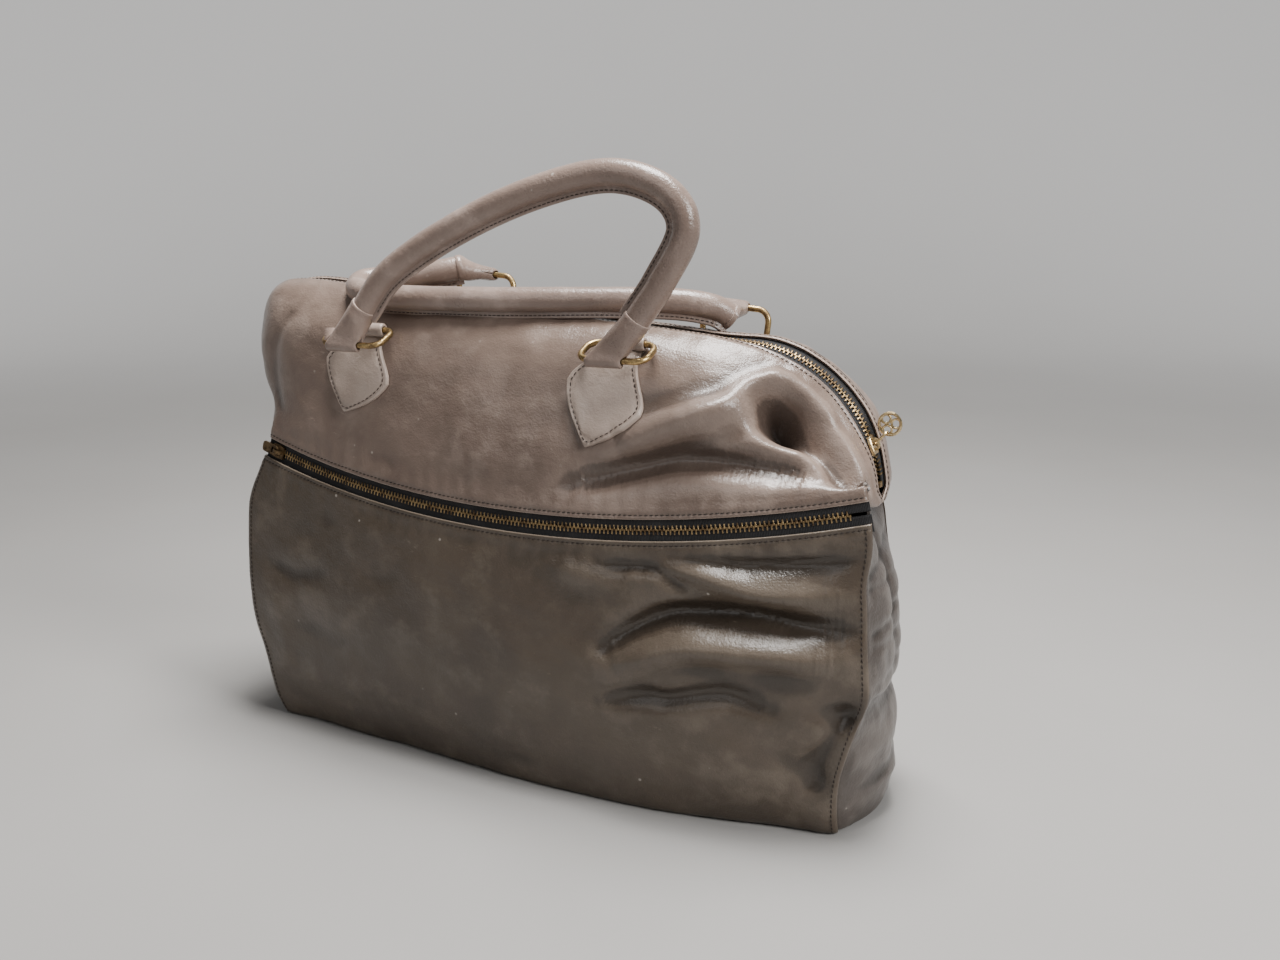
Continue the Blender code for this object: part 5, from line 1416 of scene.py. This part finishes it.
def superellipse(half_a, half_b, power, steps=52):
    angle = np.linspace(0.0, 2 * math.pi, steps, endpoint=False)
    c, s = np.cos(angle), np.sin(angle)
    return (half_a * np.sign(c) * np.abs(c) ** power, half_b * np.sign(s) * np.abs(s) ** power)


def cut_away(piece, cutters):
    for cutter in cutters:
        modifier = piece.modifiers.new("cut", "BOOLEAN")
        modifier.operation = "DIFFERENCE"
        modifier.solver = "EXACT"
        modifier.object = cutter
    graph = bpy.context.evaluated_depsgraph_get()
    mesh = bpy.data.meshes.new_from_object(piece.evaluated_get(graph))
    piece.modifiers.clear()
    piece.data = mesh
    for cutter in cutters:
        bpy.data.objects.remove(cutter)
    mesh.shade_smooth()
    mesh.set_sharp_from_angle(angle=math.radians(38.0))


def tab(handle, side, end, tangent):
    """Strap folded round the ring's bar, gathered into the end of the rolled tube."""
    line = handle.line
    bar = handle.bar(side) - line * TAB_SHIFT
    rise = end - bar
    up = unit(rise - line * np.dot(rise, line))
    face = np.cross(line, up)
    normal = unit(tangent)
    across = unit(line - normal * np.dot(line, normal))
    front = np.cross(across, normal)
    front = front if np.dot(front, face) > 0 else -front
    wide, thick = TAB_HALF_WIDTH, TAB_HALF_THICKNESS
    loops = []
    for turn_by in np.radians(np.linspace(-82.0, 0.0, 9)):
        drop, reach = math.sin(turn_by), math.cos(turn_by)
        a, b = superellipse(wide - 0.7 * MM * (1 - reach), thick * reach, 0.42)
        loops.append(bar + up * thick * drop + line * a[:, None] + face * b[:, None])
    for share in np.linspace(0.07, 1.0, 15):
        ease = float(smooth(share))
        a, b = superellipse(wide, thick * (1.0 - 0.10 * math.sin(math.pi * share)),
                            0.42 + 0.58 * ease)
        flat = bar + rise * share + line * a[:, None] + face * b[:, None]
        a, b = superellipse(HANDLE_RADIUS + 0.8 * MM, HANDLE_RADIUS + 0.8 * MM, 1.0)
        ending = bar + rise * share + across * a[:, None] + front * b[:, None]
        loops.append(flat * (1.0 - ease) + ending * ease)
    for ahead, size in ((1.2, 0.85), (2.6, 0.8), (3.0, 0.55), (3.1, 0.1), (3.1, -0.8)):
        a, b = superellipse(HANDLE_RADIUS + size * MM, HANDLE_RADIUS + size * MM, 1.0)
        loops.append(end + normal * ahead * MM + across * a[:, None] + front * b[:, None])
    loops = np.array(loops)
    verts, faces = loft(loops)
    folds = speckle(loops, 0.009, 3, 31)
    inward = unit(loops - loops.mean(axis=1, keepdims=True))
    verts = (loops + inward * folds[..., None] * 0.22 * MM).reshape(-1, 3)
    rim = np.zeros(loops.shape[:2])
    rim[-3:-1] = 0.7
    name = "%s_tab_%s" % (handle.name, side)
    # the crease mask from the folds makes the hide material paint shade in their dips
    piece = add_mesh(name + "_hide", verts, faces, HANDLE_HIDE,
                     {"crease": folds * 0.5, "edge": rim})
    angles = np.arange(20) * math.pi / 10
    bore = np.stack([np.cos(angles), np.sin(angles)], -1) * TAB_BORE_RADIUS
    slit = np.array([(1.5, -0.3), (1.5, 0.3), (10.0, 0.12), (10.0, -0.12)]) * MM
    cut_away(piece, [
        add_mesh("cutter", *loft([bar + line * t + up * outline[:, :1] + face * outline[:, 1:]
                                  for t in (-TAB_CUT_HALF, TAB_CUT_HALF)]), HANDLE_HIDE)
        for outline in (bore, slit)])
    return finish_piece(piece, handle.name + "_handle", "handle_leather", name)


for handle, path, inward in ((FRONT, FRONT_PATH, FRONT_INWARD), (BACK, BACK_PATH, BACK_INWARD)):
    rolled_cover(handle, path, inward)
    tab(handle, "left", path[0], path[3] - path[0])
    tab(handle, "right", path[-1], path[-4] - path[-1])


# ---------------------------------------------------------------- carried-over parts

for names, finish in ((("top_zip_slider", "top_zip_link", "top_zip_charm"), PALE_BRASS),
                      (("front_zip_slider", "front_zip_pull", "front_zip_stop_left"), DARK_BRASS),
                      (("top_zip_stop_left", "top_zip_stop_right"), OLD_BRASS),
                      (("base_panel",), SIDE_HIDE), (("base_stiffener",), BOARD)):
    for name in names:
        slots = frame["nodes"][name].data.materials
        for k in range(len(slots)):
            slots[k] = finish
for spare in (STITCH, TOOTH):
    bpy.data.objects.remove(spare)


# ---------------------------------------------------------------- floor, camera and light

FLOOR_RUN = 1.8
SWEEP_RADIUS = 1.3
WALL_HEIGHT = 5.0
BACKDROP_HALF = 7.0
VIEW_FROM = np.array([0.36937, -0.67417, 0.36559])
VIEW_AIM = np.array([0.055, 0.0, 0.187])
VIEW_LENS = 34.6
VIEW_SENSOR = 36.0
WORLD_COLOUR = (0.86, 0.85, 0.84, 1.0)
WORLD_STRENGTH = 0.13


def studio():
    """Pale floor that sweeps up into a backdrop behind the bag, and soft lights."""
    profile = [(-4.0, 0.0), (0.0, 0.0), (FLOOR_RUN, 0.0)]
    for angle in np.radians(np.linspace(7.5, 90.0, 12)):
        profile.append((FLOOR_RUN + SWEEP_RADIUS * math.sin(angle),
                        SWEEP_RADIUS * (1.0 - math.cos(angle))))
    profile.append((FLOOR_RUN + SWEEP_RADIUS, WALL_HEIGHT))
    away = unit((VIEW_AIM - VIEW_FROM) * [1.0, 1.0, 0.0])
    aside = np.cross(away, [0.0, 0.0, 1.0]) * BACKDROP_HALF
    verts = [away * run + [0.0, 0.0, rise] + aside * side
             for run, rise in profile for side in (1, -1)]
    faces = [(2 * k, 2 * k + 2, 2 * k + 3, 2 * k + 1) for k in range(len(profile) - 1)]
    mesh = bpy.data.meshes.new("floor")
    mesh.from_pydata(verts, [], faces)
    mesh.shade_smooth()
    mesh.materials.append(plain_floor())
    floor = bpy.data.objects.new("floor", mesh)
    bpy.context.scene.collection.objects.link(floor)
    world = bpy.data.worlds.new("studio")
    world.use_nodes = True
    sky = world.node_tree.nodes["Background"].inputs
    sky["Color"].default_value = WORLD_COLOUR
    sky["Strength"].default_value = WORLD_STRENGTH
    bpy.context.scene.world = world
    aim_point = Vector((0.02, 0.0, 0.16))
    for label, place, width, height, power, tint in (
            ("overhead", (0.10, 0.08, 1.45), 0.7, 0.5, 54.0, (1.0, 0.985, 0.965)),
            ("right window", (1.6, -0.40, 1.10), 0.6, 0.8, 37.0, (1.0, 0.99, 0.975)),
            ("front fill", (-0.3, -1.8, 1.2), 1.2, 1.0, 6.0, (0.98, 0.99, 1.0))):
        lamp = bpy.data.lights.new(label, "AREA")
        lamp.shape = "RECTANGLE"
        lamp.size, lamp.size_y = width, height
        lamp.energy = power
        lamp.color = tint
        lit = bpy.data.objects.new(label, lamp)
        lit.location = place
        lit.rotation_euler = (aim_point - Vector(place)).to_track_quat("-Z", "Y").to_euler()
        bpy.context.scene.collection.objects.link(lit)


def camera():
    lens = bpy.data.cameras.new("view")
    lens.lens = VIEW_LENS
    lens.sensor_width = VIEW_SENSOR
    lens.clip_start = 0.01
    seen = bpy.data.objects.new("view", lens)
    seen.location = VIEW_FROM
    seen.rotation_euler = Vector(VIEW_AIM - VIEW_FROM).to_track_quat("-Z", "Y").to_euler()
    bpy.context.scene.collection.objects.link(seen)
    bpy.context.scene.camera = seen


studio()
camera()
